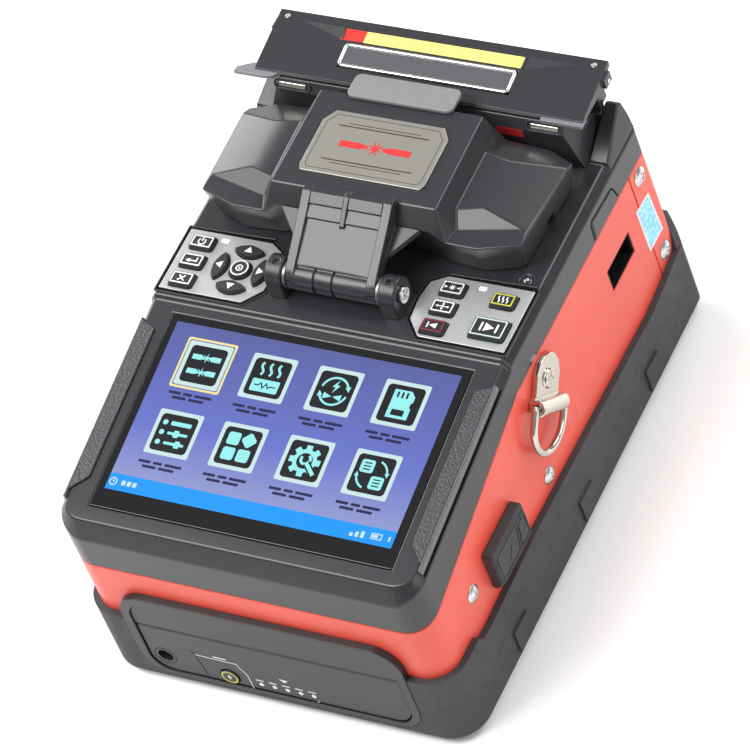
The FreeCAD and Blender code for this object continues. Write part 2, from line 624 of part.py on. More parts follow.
def heater_clips():
    """Polished catch plates lying on the front chamfer of the heater block."""
    foot, top = HEAT_CHAMFER
    size = math.hypot(top[0] - foot[0], top[1] - foot[1])
    up = ((top[0] - foot[0]) / size, (top[1] - foot[1]) / size)
    out = (-up[1], up[0])
    middle = ((foot[0] + top[0]) / 2, (foot[1] + top[1]) / 2)
    corners = []
    for along, lift in ((-0.95, 0), (-0.95, 0.3), (-0.7, 0.55), (0.7, 0.55), (0.95, 0.3), (0.95, 0)):
        corners.append((middle[0] + up[0] * along + out[0] * lift, middle[1] + up[1] * along + out[1] * lift))
    return both_sides(prism_x(corners, 42.8, 53.0))


WINDOW = (-32.7, 32.7, 82.2, 91.6)
LID_SCREW_R = 1.05


def heater_lid():
    """Hinged lid with a window opening; it overhangs the trough front and back."""
    lid = prism_x([(76.8, 112.4), (76.8, 113.9), (79.6, 114.6), (93.5, 116.6), (101.0, 117.6), (101.0, 115.6),
                   (93.2, 112.4)], -62.3, 62.3)
    lugs = []
    for side in (1, -1):
        x0, x1 = sorted((side * 60.3, side * 63.4))
        lug = box(x0, x1, 93.6, 98.4, 111.8, 115.8)
        lugs.append(lug)
    room = [box(min(s * 58.1, s * 60.25), max(s * 58.1, s * 60.25), 92.2, 99.0, 108, 115.6) for s in (1, -1)]
    window = box(WINDOW[0], WINDOW[1], WINDOW[2], WINDOW[3], 108, 122)
    pin_way = cylinder((-70, LID_HINGE_Y, LID_HINGE_Z), (1, 0, 0), 0.8, 140)
    hollow = box(-56, 56, 82.2, 91.8, 111.5, 113.6)
    screws = [cylinder((s * 58.3, 98.2, 116.6), (0, 0, 1), LID_SCREW_R, 3) for s in (1, -1)]
    return cut(fused(cut(lid, *room), *lugs, *lid_tabs()), window, pin_way, hollow, *screws)


def heater_window():
    """Clear cover in the lid with a raised rim that follows the lid's slope."""
    x0, x1, y0, y1 = WINDOW
    yz = [(y0, 114.2), (y1, 115.4), (y1, 117.2), (y0, 115.8)]
    pane = prism_x(yz, x0, x1)
    rim = 1.1
    floor = [(y0 + rim, 115.2), (y1 - rim, 116.3), (y1 - rim, 119), (y0 + rim, 119)]
    recess = prism_x(floor, x0 + rim, x1 - rim)
    return cut(pane, recess)


def lid_tabs():
    """Finger tab past the left end of the lid and the matching catch at the right."""
    left = prism_z([(-69.6, 74.4), (-69.6, 76.6), (-64.0, 79.6), (-53.0, 79.6), (-51.6, 78.6), (-54.6, 75.0),
                    (-58.0, 74.4)], 111.9, 113.4)
    right = prism_z([(47.0, 75.2), (62.3, 75.2), (62.3, 79.6), (47.0, 79.6)], 111.9, 113.4)
    return [left, right]


def lid_screws():
    """Small socket screws at the two back corners of the heater lid."""
    z = 117.2
    screw = cylinder((58.3, 98.2, z - 0.6), (0, 0, 1), LID_SCREW_R, 1.3)
    return both_sides(cut(screw, cylinder((58.3, 98.2, z + 0.3), (0, 0, 1), 0.5, 2)))


# ---------------------------------------------------------------- strap lugs and rings
LUG_TOP = (10.3, 77.0)       # y, z of the arched top
LUG_TILT = math.radians(41)  # the lugs point down and forward
LUG_T = 2.2
BAR_DROP = 17.6              # ring bar below the top, along the lug
BAR_X = HALF_W + 3.4
KNUCKLE = 9.0                # half width of the rolled end
RING_R = 1.3
RING_HALF = KNUCKLE + RING_R + 0.15
RING_LEG = 5.0
RING_BOW = 11.2


def tilted(shape):
    """Turn a lug drawn straight down from the origin and put it on the right-hand wall."""
    turned = shape.copy()
    turned.rotate(V(0, 0, 0), V(1, 0, 0), -math.degrees(LUG_TILT))
    turned.translate(V(0, LUG_TOP[0], LUG_TOP[1]))
    return turned


def strap_lug():
    """Pressed plate with a screw and a rolled knuckle round the ring's bar."""
    half, shoulder = 8.0, -BAR_DROP + 3.2
    right = [(0.0, 0.0), (3.4, -0.8), (6.2, -3.0), (half, -7.0), (half, shoulder), (KNUCKLE, shoulder - 1.4),
             (KNUCKLE, -BAR_DROP)]
    outline = right + [(-y, z) for y, z in reversed(right[1:])]
    plate = prism_x(outline, HALF_W, HALF_W + LUG_T)
    roll = cylinder((BAR_X, -KNUCKLE, -BAR_DROP), (0, 1, 0), 2.9, 2 * KNUCKLE)
    neck = box(HALF_W, BAR_X, -KNUCKLE, KNUCKLE, -BAR_DROP - 1.5, -BAR_DROP + 1.8)
    bore = cylinder((BAR_X, -KNUCKLE - 1, -BAR_DROP), (0, 1, 0), RING_R + RUN_GAP, 2 * KNUCKLE + 2)
    screw = cylinder((HALF_W + LUG_T, 0, -8.6), (1, 0, 0), 3.4, 1.0)
    screw = cut(screw, cross_slot((HALF_W + LUG_T + 1.0, 0, -8.6), 1, 2.0, 0.7))
    return tilted(fused(cut(fused(plate, roll, neck), bore), screw))


def strap_ring():
    """D-shaped wire ring: straight bar in the knuckle, two legs and a round end."""
    bar = cylinder((BAR_X, -RING_HALF, 0), (0, 1, 0), RING_R, 2 * RING_HALF)
    legs = [cylinder((BAR_X, s * RING_HALF, -RING_LEG), (0, 0, 1), RING_R, RING_LEG) for s in (1, -1)]
    balls = [Part.makeSphere(RING_R, V(BAR_X, s * RING_HALF, 0)) for s in (1, -1)]
    lowest = V(BAR_X, 0, -RING_LEG - RING_BOW)
    ellipse = Part.Ellipse(lowest, V(BAR_X, RING_HALF, -RING_LEG), V(BAR_X, 0, -RING_LEG))
    arc = Part.ArcOfEllipse(ellipse, -math.pi / 2, math.pi / 2).toShape()
    circle = Part.Wire([Part.makeCircle(RING_R, arc.Vertexes[0].Point, V(0, 0, 1))])
    bow = Part.Wire([arc]).makePipeShell([circle], True, True)
    ring = fused(bar, *legs, *balls, bow)
    ring.translate(V(0, 0, -BAR_DROP))
    return tilted(ring)


# ---------------------------------------------------------------- side port
def port_cover():
    """Rubber cover over the right-hand sockets, with a shallow plug behind it."""
    y0, y1, z0, z1 = -57.2, -33.8, 35.6, 53.0
    face = [(HALF_W + 0.35, z0), (HALF_W + 1.6, z0), (HALF_W + 5.0, z0 + 3.2), (HALF_W + 5.0, z1 - 1.0),
            (HALF_W + 4.2, z1), (HALF_W + 0.05, z1), (HALF_W + 0.05, z0 + 0.6)]
    block = prism_y(face, y0, y1)
    tall = [e for e in block.Edges if e.BoundBox.ZLength > 10]
    block = block.makeChamfer(1.0, [e for e in tall if e.BoundBox.XMin > HALF_W + 4])
    plug = box(HALF_W - 1.6, HALF_W + 0.1, PORT_Y[0] + 0.8, PORT_Y[1] - 0.8, PORT_Z[0] + 1.2, PORT_Z[1] - 1.4)
    return fused(block, plug)


def port_block():
    """Socket carrier behind the right-hand opening."""
    block = box(HALF_W - WALL - 8, HALF_W - WALL, PORT_Y[0] + 0.3, PORT_Y[1] - 0.3,
                PORT_Z[0] - 2, PORT_Z[1] + 2)
    usb = box(HALF_W - WALL - 7, HALF_W, -53.5, -46.0, 42.2, 45.8)
    jack = cylinder((HALF_W - WALL - 7, -41.0, 44.2), (1, 0, 0), 1.9, 12)
    return cut(block, usb, jack)


def card_slot():
    """Dark frame set in the rectangular opening of the right-hand wall."""
    x1 = HALF_W - 0.3
    tub = box(HALF_W - 9, x1, SLOT_Y[0] + 0.05, SLOT_Y[1] - 0.05, SLOT_Z[0] + 0.05, SLOT_Z[1] - 0.05)
    room = box(HALF_W - 8, x1 + 1, SLOT_Y[0] + 1.0, SLOT_Y[1] - 1.0, SLOT_Z[0] + 1.0, SLOT_Z[1] - 1.0)
    return cut(tub, room)


# ---------------------------------------------------------------- battery
PACK_GAP = 0.35
JACK_AT = (-43.8, 15.0)
BUTTON_AT = (-19.9, 11.2)


def battery_frame():
    """Moulded bay: bezel round the front opening and a sleeve that guides the pack."""
    bezel = rounded_front(-BEZEL_X, BEZEL_X, FACE_Y - 0.6, BODY_Y0 - 0.02, BAY_Z0 - 1.2, COVER_Z1 + 3.2, BEZEL_R)
    mouth = rounded_front(-BAY_X, BAY_X, FACE_Y - 3, BODY_Y0 + 4, BAY_Z0, COVER_Z1, BAY_R)
    sleeve = box(-BAY_X - 1.3, BAY_X + 1.3, BODY_Y0 - 0.02, BAY_DEPTH_Y, BAY_Z0 - 2.6, BAY_Z1 + 1.6)
    room = box(-BAY_X, BAY_X, BODY_Y0 - 3, BAY_DEPTH_Y - 1.5, BAY_Z0 - 0.2, BAY_Z1)
    riser = box(-BAY_X - 1.3, BAY_X + 1.3, BODY_Y0 - 0.02, BODY_Y0 + 1.6, BAY_Z1, COVER_Z1 + 1.4)
    riser = riser.common(rounded_front(-BAY_X - 1.3, BAY_X + 1.3, BODY_Y0 - 1, BODY_Y0 + 6, BOOT_FLOOR - 4,
                                       COVER_Z1 + 1.4, 9))
    body = fused(cut(bezel, mouth), cut(sleeve, room, mouth))
    return fused(body, cut(riser, mouth, room))


def bay_cover():
    """Fixed strip above the pack's face, with rounded upper corners."""
    mouth = rounded_front(-BAY_X, BAY_X, FACE_Y, BODY_Y0 + 3, BAY_Z0, COVER_Z1, BAY_R)
    return mouth.common(box(-90, 90, FACE_Y, BODY_Y0 + 3, BAY_Z1 + 0.3, 60))


def battery_pack():
    """Sliding pack: a cell block with rounded edges behind a face that fills the mouth."""
    body = rounded_front(-BAY_X + 1.0, BAY_X - 1.0, BODY_Y0 + 0.5, BAY_DEPTH_Y - 4, BAY_Z0 + 0.4, BAY_Z1 - 0.8,
                         BAY_R)
    face = rounded_front(-BAY_X + PACK_GAP, BAY_X - PACK_GAP, FACE_Y, BODY_Y0 + 1.5, BAY_Z0 + PACK_GAP,
                         BAY_Z1 + 20, BAY_R - PACK_GAP)
    face = face.common(box(-BAY_X, BAY_X, FACE_Y, BODY_Y0 + 1.5, 0, BAY_Z1 - PACK_GAP))
    jack = cylinder((JACK_AT[0], FACE_Y - 1, JACK_AT[1]), (0, 1, 0), 4.0, 11)
    button = cylinder((BUTTON_AT[0], FACE_Y - 1, BUTTON_AT[1]), (0, 1, 0), 3.6, 5)
    lights = [cylinder((x, FACE_Y - 1, 10.2), (0, 1, 0), 0.9, 3) for x in light_places()]
    return cut(fused(body, face), jack, button, *lights)


def light_places():
    return [-8.2 + 5.0 * i for i in range(5)]


def charge_lights():
    return Part.makeCompound([cylinder((x, FACE_Y, 10.2), (0, 1, 0), 0.9, 2.0) for x in light_places()])


def charge_jack():
    barrel = cylinder((JACK_AT[0], FACE_Y, JACK_AT[1]), (0, 1, 0), 4.0, 10)
    bore = cylinder((JACK_AT[0], FACE_Y - 1, JACK_AT[1]), (0, 1, 0), 2.75, 9.5)
    pin = cylinder((JACK_AT[0], FACE_Y + 1.5, JACK_AT[1]), (0, 1, 0), 1.0, 8)
    return fused(cut(barrel, bore), pin)


def battery_button():
    return cylinder((BUTTON_AT[0], FACE_Y - 0.5, BUTTON_AT[1]), (0, 1, 0), 3.4, 3.2)


# ---------------------------------------------------------------- inside
BOARD_Z = 38.0
GROOVE_Z = 93.0
FIBER_Y = 48.0               # the two fibers lie along X at this depth


def splice_base():
    """Die-cast tub that fills the chamber opening."""
    outer = box(-CH_X, CH_X, CH_Y0, CH_Y1, CH_FLOOR, DECK_Z)
    inner = box(-CH_X + 2, CH_X - 2, CH_Y0 + 2, CH_Y1 - 2, CH_FLOOR + 3, DECK_Z + 1)
    sights = [cylinder((0, y, CH_FLOOR - 1), (0, 0, 1), 2.6, 6) for y in (40.0, 57.0)]
    return cut(outer, inner, *sights)


def fiber_notch(top, half_width, depth, x0, x1):
    """V-shaped cut along the fiber's line."""
    return prism_x([(FIBER_Y - half_width, top + 0.1), (FIBER_Y + half_width, top + 0.1), (FIBER_Y, top - depth)],
                   x0, x1)


def v_grooves():
    """Ceramic blocks that line up the two fibers, with a gap for the arc between them."""
    blocks = []
    for side in (1, -1):
        x0, x1 = sorted((side * 2.5, side * 9.0))
        block = box(x0, x1, 45.0, 51.0, CH_FLOOR + 3, GROOVE_Z)
        blocks.append(cut(block, fiber_notch(GROOVE_Z, 0.6, 0.7, x0 - 1, x1 + 1)))
    return Part.makeCompound(blocks)


def electrodes():
    """Two pointed rods in their holders, one in front of and one behind the fiber gap."""
    parts = []
    for side in (1, -1):
        rod = Part.makeCone(0.1, 1.0, 3.0, V(0, FIBER_Y + side * 1.5, 92.2), V(0, side, 0))
        shank = cylinder((0, FIBER_Y + side * 4.4, 92.2), (0, side, 0), 1.0, 6.0)
        y0, y1 = sorted((FIBER_Y + side * 12.6, FIBER_Y + side * 15.4))
        holder = box(-4, 4, y0, y1, CH_FLOOR + 3, GROOVE_Z + 1)
        arm = box(-2.2, 2.2, min(FIBER_Y + side * 10.0, y0), max(FIBER_Y + side * 10.0, y1), 90.4, GROOVE_Z + 1)
        parts.append(fused(rod, shank, arm, holder))
    return Part.makeCompound(parts)


def microscopes():
    """Two objective tubes under the chamber floor, each with its camera."""
    tubes = []
    for y in (40.0, 57.0):
        tube = fused(cylinder((0, y, CH_FLOOR), (0, 0, -1), 5.0, 18),
                     cylinder((0, y, CH_FLOOR - 18), (0, 0, -1), 7.0, 6),
                     box(-8, 8, y - 8, y + 8, CH_FLOOR - 29, CH_FLOOR - 24))
        tubes.append(cut(tube, cylinder((0, y, CH_FLOOR - 20), (0, 0, 1), 2.6, 22)))
    return Part.makeCompound(tubes)


def feed_motors():
    """Stepper motors under the chamber floor that drive the two fiber carriages."""
    motors = []
    for side in (1, -1):
        can = cylinder((side * 16, 48, CH_FLOOR - 10), (side, 0, 0), 8.0, 20)
        saddle = box(min(side * 18, side * 34), max(side * 18, side * 34), 42, 54, CH_FLOOR - 6, CH_FLOOR)
        motors.append(fused(can, saddle))
    return Part.makeCompound(motors)


def main_board():
    board = box(-62, 62, -74, 70, BOARD_Z, BOARD_Z + 1.6)
    board = board.cut(box(56.5, 63, PORT_Y[0] - 1, PORT_Y[1] + 1, BOARD_Z - 1, BOARD_Z + 3))
    chips = [(-20, 4, -40, -16, 4), (20, 36, -50, -34, 5), (-50, -34, 4, 24, 12), (30, 52, 0, 18, 10)]
    blocks = [box(x0, x1, y0, y1, BOARD_Z + 1.5, BOARD_Z + tall) for x0, x1, y0, y1, tall in chips]
    return fused(board, *blocks)


CARRIAGE_TOP = 95.0
CLAMP_HINGE_Y = 58.0         # pin of the clamp lid, behind the seat
CLAMP_HINGE_Z = 95.0
EAR_R = 1.9                  # rounded top of the ears that hold the pin


def carriage(side):
    """Sliding fiber clamp seat with a groove along the fiber."""
    x0, x1 = sorted((side * 16.0, side * 42.0))
    seat = box(x0, x1, 44.0, 56.0, CH_FLOOR + 3.05, CARRIAGE_TOP)
    notch = fiber_notch(CARRIAGE_TOP, 0.8, 1.2, x0 - 1, x1 + 1)
    ears = []
    for ear_x in (x0 + 4, x1 - 7):
        ears.append(box(ear_x, ear_x + 3, 56.0, CLAMP_HINGE_Y + EAR_R, 88, CLAMP_HINGE_Z))
        ears.append(cylinder((ear_x, CLAMP_HINGE_Y, CLAMP_HINGE_Z), (1, 0, 0), EAR_R, 3))
    pin_way = cylinder((x0 - 1, CLAMP_HINGE_Y, CLAMP_HINGE_Z), (1, 0, 0), 0.85, 40)
    return cut(fused(seat, *ears), notch, pin_way)


def sheath_lid(side):
    """Hinged clamp lid that presses the fiber into its seat."""
    x0, x1 = sorted((side * 16.4, side * 41.6))
    plate = box(x0, x1, 45.2, 55.9, CARRIAGE_TOP + 0.1, CARRIAGE_TOP + 3.0)
    knuckle = cylinder((x0 + 7.3, CLAMP_HINGE_Y, CLAMP_HINGE_Z), (1, 0, 0), 1.5, x1 - x0 - 14.6)
    link = box(x0 + 7.3, x1 - 7.3, 55.8, CLAMP_HINGE_Y, 95.2, 96.5)
    pin = cylinder((x0 + 4.2, CLAMP_HINGE_Y, CLAMP_HINGE_Z), (1, 0, 0), 0.8, x1 - x0 - 8.4)
    grip = box((x0 + x1) / 2 - 5, (x0 + x1) / 2 + 5, 43.6, 45.3, CARRIAGE_TOP + 1.2, CARRIAGE_TOP + 3.0)
    return fused(plate, link, knuckle, pin, grip)


# ---------------------------------------------------------------- all nodes
def build():
    node("bumper", bumper())
    node("base_plate", base_plate())
    node("side_shell", side_shell())
    node("rear_panel", rear_panel())
    node("top_frame", top_frame())
    node("case_screws", case_screws())
    node("lcd_lens", lcd_lens())
    node("lcd_panel", lcd_panel())
    node("grip_strips", grip_strips())
    node("key_plate_left", key_plate(-1))
    node("key_plate_right", key_plate(1))
    for name, cap in key_caps().items():
        node(name, cap["cap"])
    node("hinge_shaft", hinge_shaft())
    node("hinge_bosses", hinge_bosses())
    node("hinge_washers", hinge_washers())
    node("hinge_bracket", hinge_bracket())
    node("windshield", windshield())
    node("nameplate", nameplate())
    node("lift_tab", lift_tab())
    node("heater_body", heater_body())
    node("heater_tray", heater_tray())
    node("heater_pins", heater_pins())
    node("heater_clips", heater_clips())
    node("heater_lid", heater_lid())
    node("heater_window", heater_window())
    node("lid_screws", lid_screws())
    node("strap_lugs", both_sides(strap_lug()))
    node("strap_ring_right", strap_ring())
    node("strap_ring_left", mirrored(strap_ring()))
    node("port_cover", port_cover())
    node("port_block", port_block())
    node("card_slot", card_slot())
    node("battery_frame", battery_frame())
    node("bay_cover", bay_cover())
    node("battery_pack", battery_pack())
    node("charge_lights", charge_lights())
    node("charge_jack", charge_jack())
    node("battery_button", battery_button())
    node("splice_base", splice_base())
    node("v_grooves", v_grooves())
    node("electrodes", electrodes())
    node("microscopes", microscopes())
    node("feed_motors", feed_motors())
    node("main_board", main_board())
    node("carriage_left", carriage(-1))
    node("carriage_right", carriage(1))
    node("sheath_lid_left", sheath_lid(-1))
    node("sheath_lid_right", sheath_lid(1))


build()
os.makedirs("parts", exist_ok=True)
for name, shape in NODES.items():
    print(name, len(shape.Solids), shape.isValid(), round(shape.Volume / 1000, 2))
    shape.exportStep("parts/%s.step" % name)
print(len(NODES), "nodes")
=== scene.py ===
"""Looks of the fiber fusion splicer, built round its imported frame.

Shapes are drawn in millimetres and scaled to metres when a piece is made.
"""
import json
import math

import bmesh
import bpy
from mathutils import Matrix, Vector, geometry
from mathutils.bvhtree import BVHTree


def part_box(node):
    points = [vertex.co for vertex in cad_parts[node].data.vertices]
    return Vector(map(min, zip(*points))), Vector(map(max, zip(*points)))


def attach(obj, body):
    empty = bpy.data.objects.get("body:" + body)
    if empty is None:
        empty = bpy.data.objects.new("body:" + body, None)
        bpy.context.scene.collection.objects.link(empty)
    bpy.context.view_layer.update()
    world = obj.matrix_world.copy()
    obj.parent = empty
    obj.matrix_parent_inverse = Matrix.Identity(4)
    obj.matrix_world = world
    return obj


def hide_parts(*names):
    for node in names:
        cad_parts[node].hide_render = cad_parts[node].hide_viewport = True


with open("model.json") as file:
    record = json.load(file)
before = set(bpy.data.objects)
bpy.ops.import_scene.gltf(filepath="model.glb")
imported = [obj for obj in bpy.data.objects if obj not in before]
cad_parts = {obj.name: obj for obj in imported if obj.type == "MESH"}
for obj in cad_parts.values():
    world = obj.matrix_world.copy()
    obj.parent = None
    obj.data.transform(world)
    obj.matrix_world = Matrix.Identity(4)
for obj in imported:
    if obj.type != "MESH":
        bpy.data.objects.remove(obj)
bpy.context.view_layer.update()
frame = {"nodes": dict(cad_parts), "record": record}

MM = 0.001
TAU = 2 * math.pi
BODY_OF = {}
for body_name, members in frame["record"]["behaviour"]["bodies"].items():
    for member in members:
        BODY_OF[member] = body_name
SLOT_OF = {s["node"]: s["material_slot"] for s in frame["record"]["subparts"]}


def low(node):
    return Vector(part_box(node)[0]) / MM


def high(node):
    return Vector(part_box(node)[1]) / MM


def middle(node):
    return (low(node) + high(node)) / 2


# ---------------------------------------------------------------- places read from the frame
HALF_W = high("side_shell").x
DECK_Z = low("key_plate_left").z
PLATE_TOP = high("key_plate_left").z
KEY_TOP = high("ok_key").z
FACE_Y = low("battery_pack").y
LENS_HIGH = high("lcd_lens")
TILT = math.radians(9.57)
LCD = middle("lcd_panel")
LCD.z = LENS_HIGH.z - (LENS_HIGH.y - LCD.y) * math.tan(TILT)
LCD_W = high("lcd_panel").x - low("lcd_panel").x
LCD_H = LCD_W * 0.6


def axes(origin, x, y, z):
    """Matrix from a local frame in millimetres to the object's frame in millimetres."""
    m = Matrix((x, y, z)).transposed().to_4x4()
    m.translation = origin
    return m


DECK = Matrix.Translation((0, 0, DECK_Z))
SLOPE = axes(LCD, (1, 0, 0), (0, math.cos(TILT), math.sin(TILT)), (0, -math.sin(TILT), math.cos(TILT)))
FRONT = axes(Vector((0, FACE_Y, 0)), (1, 0, 0), (0, 0, 1), (0, -1, 0))
RIGHT = axes(Vector((HALF_W, 0, 0)), (0, 1, 0), (0, 0, 1), (1, 0, 0))
LEFT = axes(Vector((-HALF_W, 0, 0)), (0, -1, 0), (0, 0, 1), (-1, 0, 0))


# ---------------------------------------------------------------- materials
def linear(r, g, b):
    """Scene colour from screen values of 0 to 255."""
    def one(v):
        v /= 255
        return v / 12.92 if v <= 0.04045 else ((v + 0.055) / 1.055) ** 2.4
    return one(r), one(g), one(b), 1.0


class Shader:
    """A Principled material with a few helpers for procedural detail."""

    def __init__(self, name, colour, rough, **inputs):
        self.mat = bpy.data.materials.new(name)
        self.mat.use_nodes = True
        self.tree = self.mat.node_tree
        self.main = self.tree.nodes["Principled BSDF"]
        self.colour = colour
        self.rough = rough
        self.set("Base Color", colour)
        self.set("Roughness", rough)
        for key, value in inputs.items():
            self.set(key.replace("_", " "), value)
        self.place = self.tree.nodes.new("ShaderNodeTexCoord").outputs["Object"]

    def set(self, key, value):
        self.main.inputs[key].default_value = value

    def link(self, a, b):
        self.tree.links.new(a, b)

    def pattern(self, size_mm, detail=2.0, kind="noise", stretch=None):
        """Noise or voronoi value with features of about size_mm."""
        place = self.place
        if stretch:
            mapping = self.tree.nodes.new("ShaderNodeMapping")
            mapping.inputs["Scale"].default_value = stretch
            self.link(place, mapping.inputs["Vector"])
            place = mapping.outputs["Vector"]
        if kind == "voronoi":
            node = self.tree.nodes.new("ShaderNodeTexVoronoi")
            out = node.outputs["Distance"]
        else:
            node = self.tree.nodes.new("ShaderNodeTexNoise")
            node.inputs["Detail"].default_value = detail
            out = node.outputs["Fac"]
        node.inputs["Scale"].default_value = 1 / (size_mm * MM)
        self.link(place, node.inputs["Vector"])
        return out

    def spread(self, value, lo, hi, to_lo, to_hi, curve="LINEAR"):
        node = self.tree.nodes.new("ShaderNodeMapRange")
        node.interpolation_type = curve
        for key, v in (("From Min", lo), ("From Max", hi), ("To Min", to_lo), ("To Max", to_hi)):
            node.inputs[key].default_value = v
        self.link(value, node.inputs["Value"])
        return node.outputs["Result"]

    def vary_colour(self, value, other, lo=0.25, hi=0.75):
        mix = self.tree.nodes.new("ShaderNodeMix")
        mix.data_type = "RGBA"
        mix.inputs["A"].default_value = self.colour
        mix.inputs["B"].default_value = other
        self.link(self.spread(value, lo, hi, 0.0, 1.0, "SMOOTHSTEP"), mix.inputs["Factor"])
        self.link(mix.outputs["Result"], self.main.inputs["Base Color"])
        return self

    def vary_rough(self, value, amount):
        self.link(self.spread(value, 0.15, 0.85, self.rough - amount, self.rough + amount, "SMOOTHSTEP"),
                  self.main.inputs["Roughness"])
        return self

    def bump(self, value, height_mm, strength=1.0):
        node = self.tree.nodes.new("ShaderNodeBump")
        node.inputs["Distance"].default_value = height_mm * MM
        node.inputs["Strength"].default_value = strength
        self.link(value, node.inputs["Height"])
        self.link(node.outputs["Normal"], self.main.inputs["Normal"])
        return self

    def glow(self, colour, strength):
        self.set("Emission Color", colour)
        self.set("Emission Strength", strength)
        return self


def moulded_plastic(name, colour, rough, grain_mm=0.35, height=0.012):
    s = Shader(name, colour, rough)
    s.vary_colour(s.pattern(1.6, 2), tuple(c * 1.1 for c in colour[:3]) + (1,))
    return s.bump(s.pattern(grain_mm, 3), height, 0.55).mat


def dark_gap():
    """Unlit bottom of a seam or groove."""
    s = Shader("dark_gap", linear(9, 9, 10), 0.85)
    s.set("Specular IOR Level", 0.12)
    s.vary_colour(s.pattern(6, 3), linear(15, 15, 17))
    return s.mat


def painted_red():
    s = Shader("red_paint", linear(219, 74, 56), 0.42, Coat_Weight=0.2, Coat_Roughness=0.25)
    s.vary_colour(s.pattern(40, 3), linear(226, 82, 62))
    s.vary_rough(s.pattern(5, 2), 0.05)
    return s.bump(s.pattern(0.6, 2), 0.006, 0.5).mat


def rubber(name="black_rubber", colour=None, rough=0.62):
    colour = colour or linear(46, 47, 50)
    s = Shader(name, colour, rough)
    s.vary_colour(s.pattern(22, 5), tuple(c * 1.45 for c in colour[:3]) + (1,))
    s.vary_rough(s.pattern(4, 3), 0.07)
    return s.bump(s.pattern(0.45, 4), 0.02, 0.6).mat


def pebbled_rubber():
    """Leather-like texture of the strips beside the display."""
    s = Shader("pebbled_rubber", linear(28, 29, 31), 0.45)
    pebbles = s.pattern(0.85, kind="voronoi")
    s.vary_colour(pebbles, linear(58, 59, 62), 0.1, 0.6)
    return s.bump(pebbles, 0.2, 1.0).mat


def silver_plate():
    s = Shader("silver_plate", linear(176, 177, 178), 0.38, Metallic=0.6)
    s.vary_colour(s.pattern(0.22, 2), linear(204, 205, 206), 0.4, 0.62)
    s.vary_rough(s.pattern(0.3, 2), 0.09)
    return s.bump(s.pattern(0.25, 2), 0.006, 0.5).mat


def metal(name, colour, rough, streak=(1, 12, 12)):
    s = Shader(name, colour, rough, Metallic=1.0)
    s.vary_rough(s.pattern(0.9, 3, stretch=streak), rough * 0.35)
    return s.bump(s.pattern(0.5, 2, stretch=streak), 0.002, 0.4).mat


def black_glass():
    s = Shader("black_glass", linear(9, 9, 12), 0.06, Coat_Weight=0.2, Coat_Roughness=0.03)
    s.vary_rough(s.pattern(12, 3), 0.015)
    return s.mat


def printed(name, colour, rough=0.5, glow=0.0):
    """Ink or label stock with a slightly uneven colour, or a lit mark on a dark screen."""
    base = tuple(c * 0.06 for c in colour[:3]) + (1,) if glow else colour
    s = Shader(name, base, rough)
    s.vary_colour(s.pattern(1.1, 3), tuple(c * 0.9 for c in base[:3]) + (1,))
    if glow:
        s.glow(colour, glow)
    return s.mat


def smoky_plastic():
    """Dark see-through pane of the heater's lid."""
    s = Shader("smoky_window", linear(104, 106, 110), 0.10, IOR=1.5, Coat_Weight=0.5, Coat_Roughness=0.08)
    s.set("Transmission Weight", 0.45)
    s.vary_rough(s.pattern(9, 3), 0.03)
    return s.bump(s.pattern(16, 2), 0.03, 0.25).mat


def lattice():
    """Seal stock: pale blue with a faint diamond lattice."""
    s = Shader("seal_lattice", linear(178, 230, 246), 0.35)
    cells = s.pattern(1.3, kind="voronoi", stretch=(1, 1, 0.6))
    return s.vary_colour(cells, linear(128, 200, 226), 0.2, 0.6).mat


def screen_ground():
    """Lit background of the display: violet blue, paler towards the bottom."""
    s = Shader("screen_ground", linear(20, 20, 40), 0.12)
    across = s.tree.nodes.new("ShaderNodeSeparateXYZ")
    s.link(s.tree.nodes.new("ShaderNodeTexCoord").outputs["Generated"], across.inputs["Vector"])
    ramp = s.tree.nodes.new("ShaderNodeValToRGB")
    stops = [(0.0, linear(146, 156, 208)), (0.35, linear(106, 118, 204)), (0.75, linear(94, 104, 178)),
             (1.0, linear(88, 98, 160))]
    ramp.color_ramp.elements[0].position, ramp.color_ramp.elements[0].color = stops[0]
    ramp.color_ramp.elements[1].position, ramp.color_ramp.elements[1].color = stops[-1]
    for position, colour in stops[1:-1]:
        ramp.color_ramp.elements.new(position).color = colour
    s.link(across.outputs["Y"], ramp.inputs["Fac"])
    s.link(ramp.outputs["Color"], s.main.inputs["Emission Color"])
    s.set("Emission Strength", SCREEN_GLOW)
    return s.mat


SCREEN_GLOW = 0.97
BLACK = moulded_plastic("black_plastic", linear(41, 42, 45), 0.28)
BLACK_FINE = moulded_plastic("black_plastic_fine", linear(37, 38, 41), 0.36, 0.25, 0.008)
DARK_EDGE = dark_gap()
RED = painted_red()
RUBBER = rubber()
KEY = rubber("key_rubber", linear(30, 31, 33), 0.42)
GRIP = pebbled_rubber()
SILVER = silver_plate()
STEEL = metal("bright_steel", linear(205, 205, 205), 0.24)
CHROME = metal("chrome", linear(204, 198, 188), 0.14, (3, 3, 3))
GLASS = black_glass()
LIGHT_GREY = moulded_plastic("grey_plastic", linear(118, 118, 120), 0.42)
# Lighter grey for the ribs along the sloped end's edges: painted highlight for the light their rounded tops
# catch.
RIB_PAINTED_HIGHLIGHT = moulded_plastic("rib_painted_highlight", linear(92, 93, 96), 0.24)
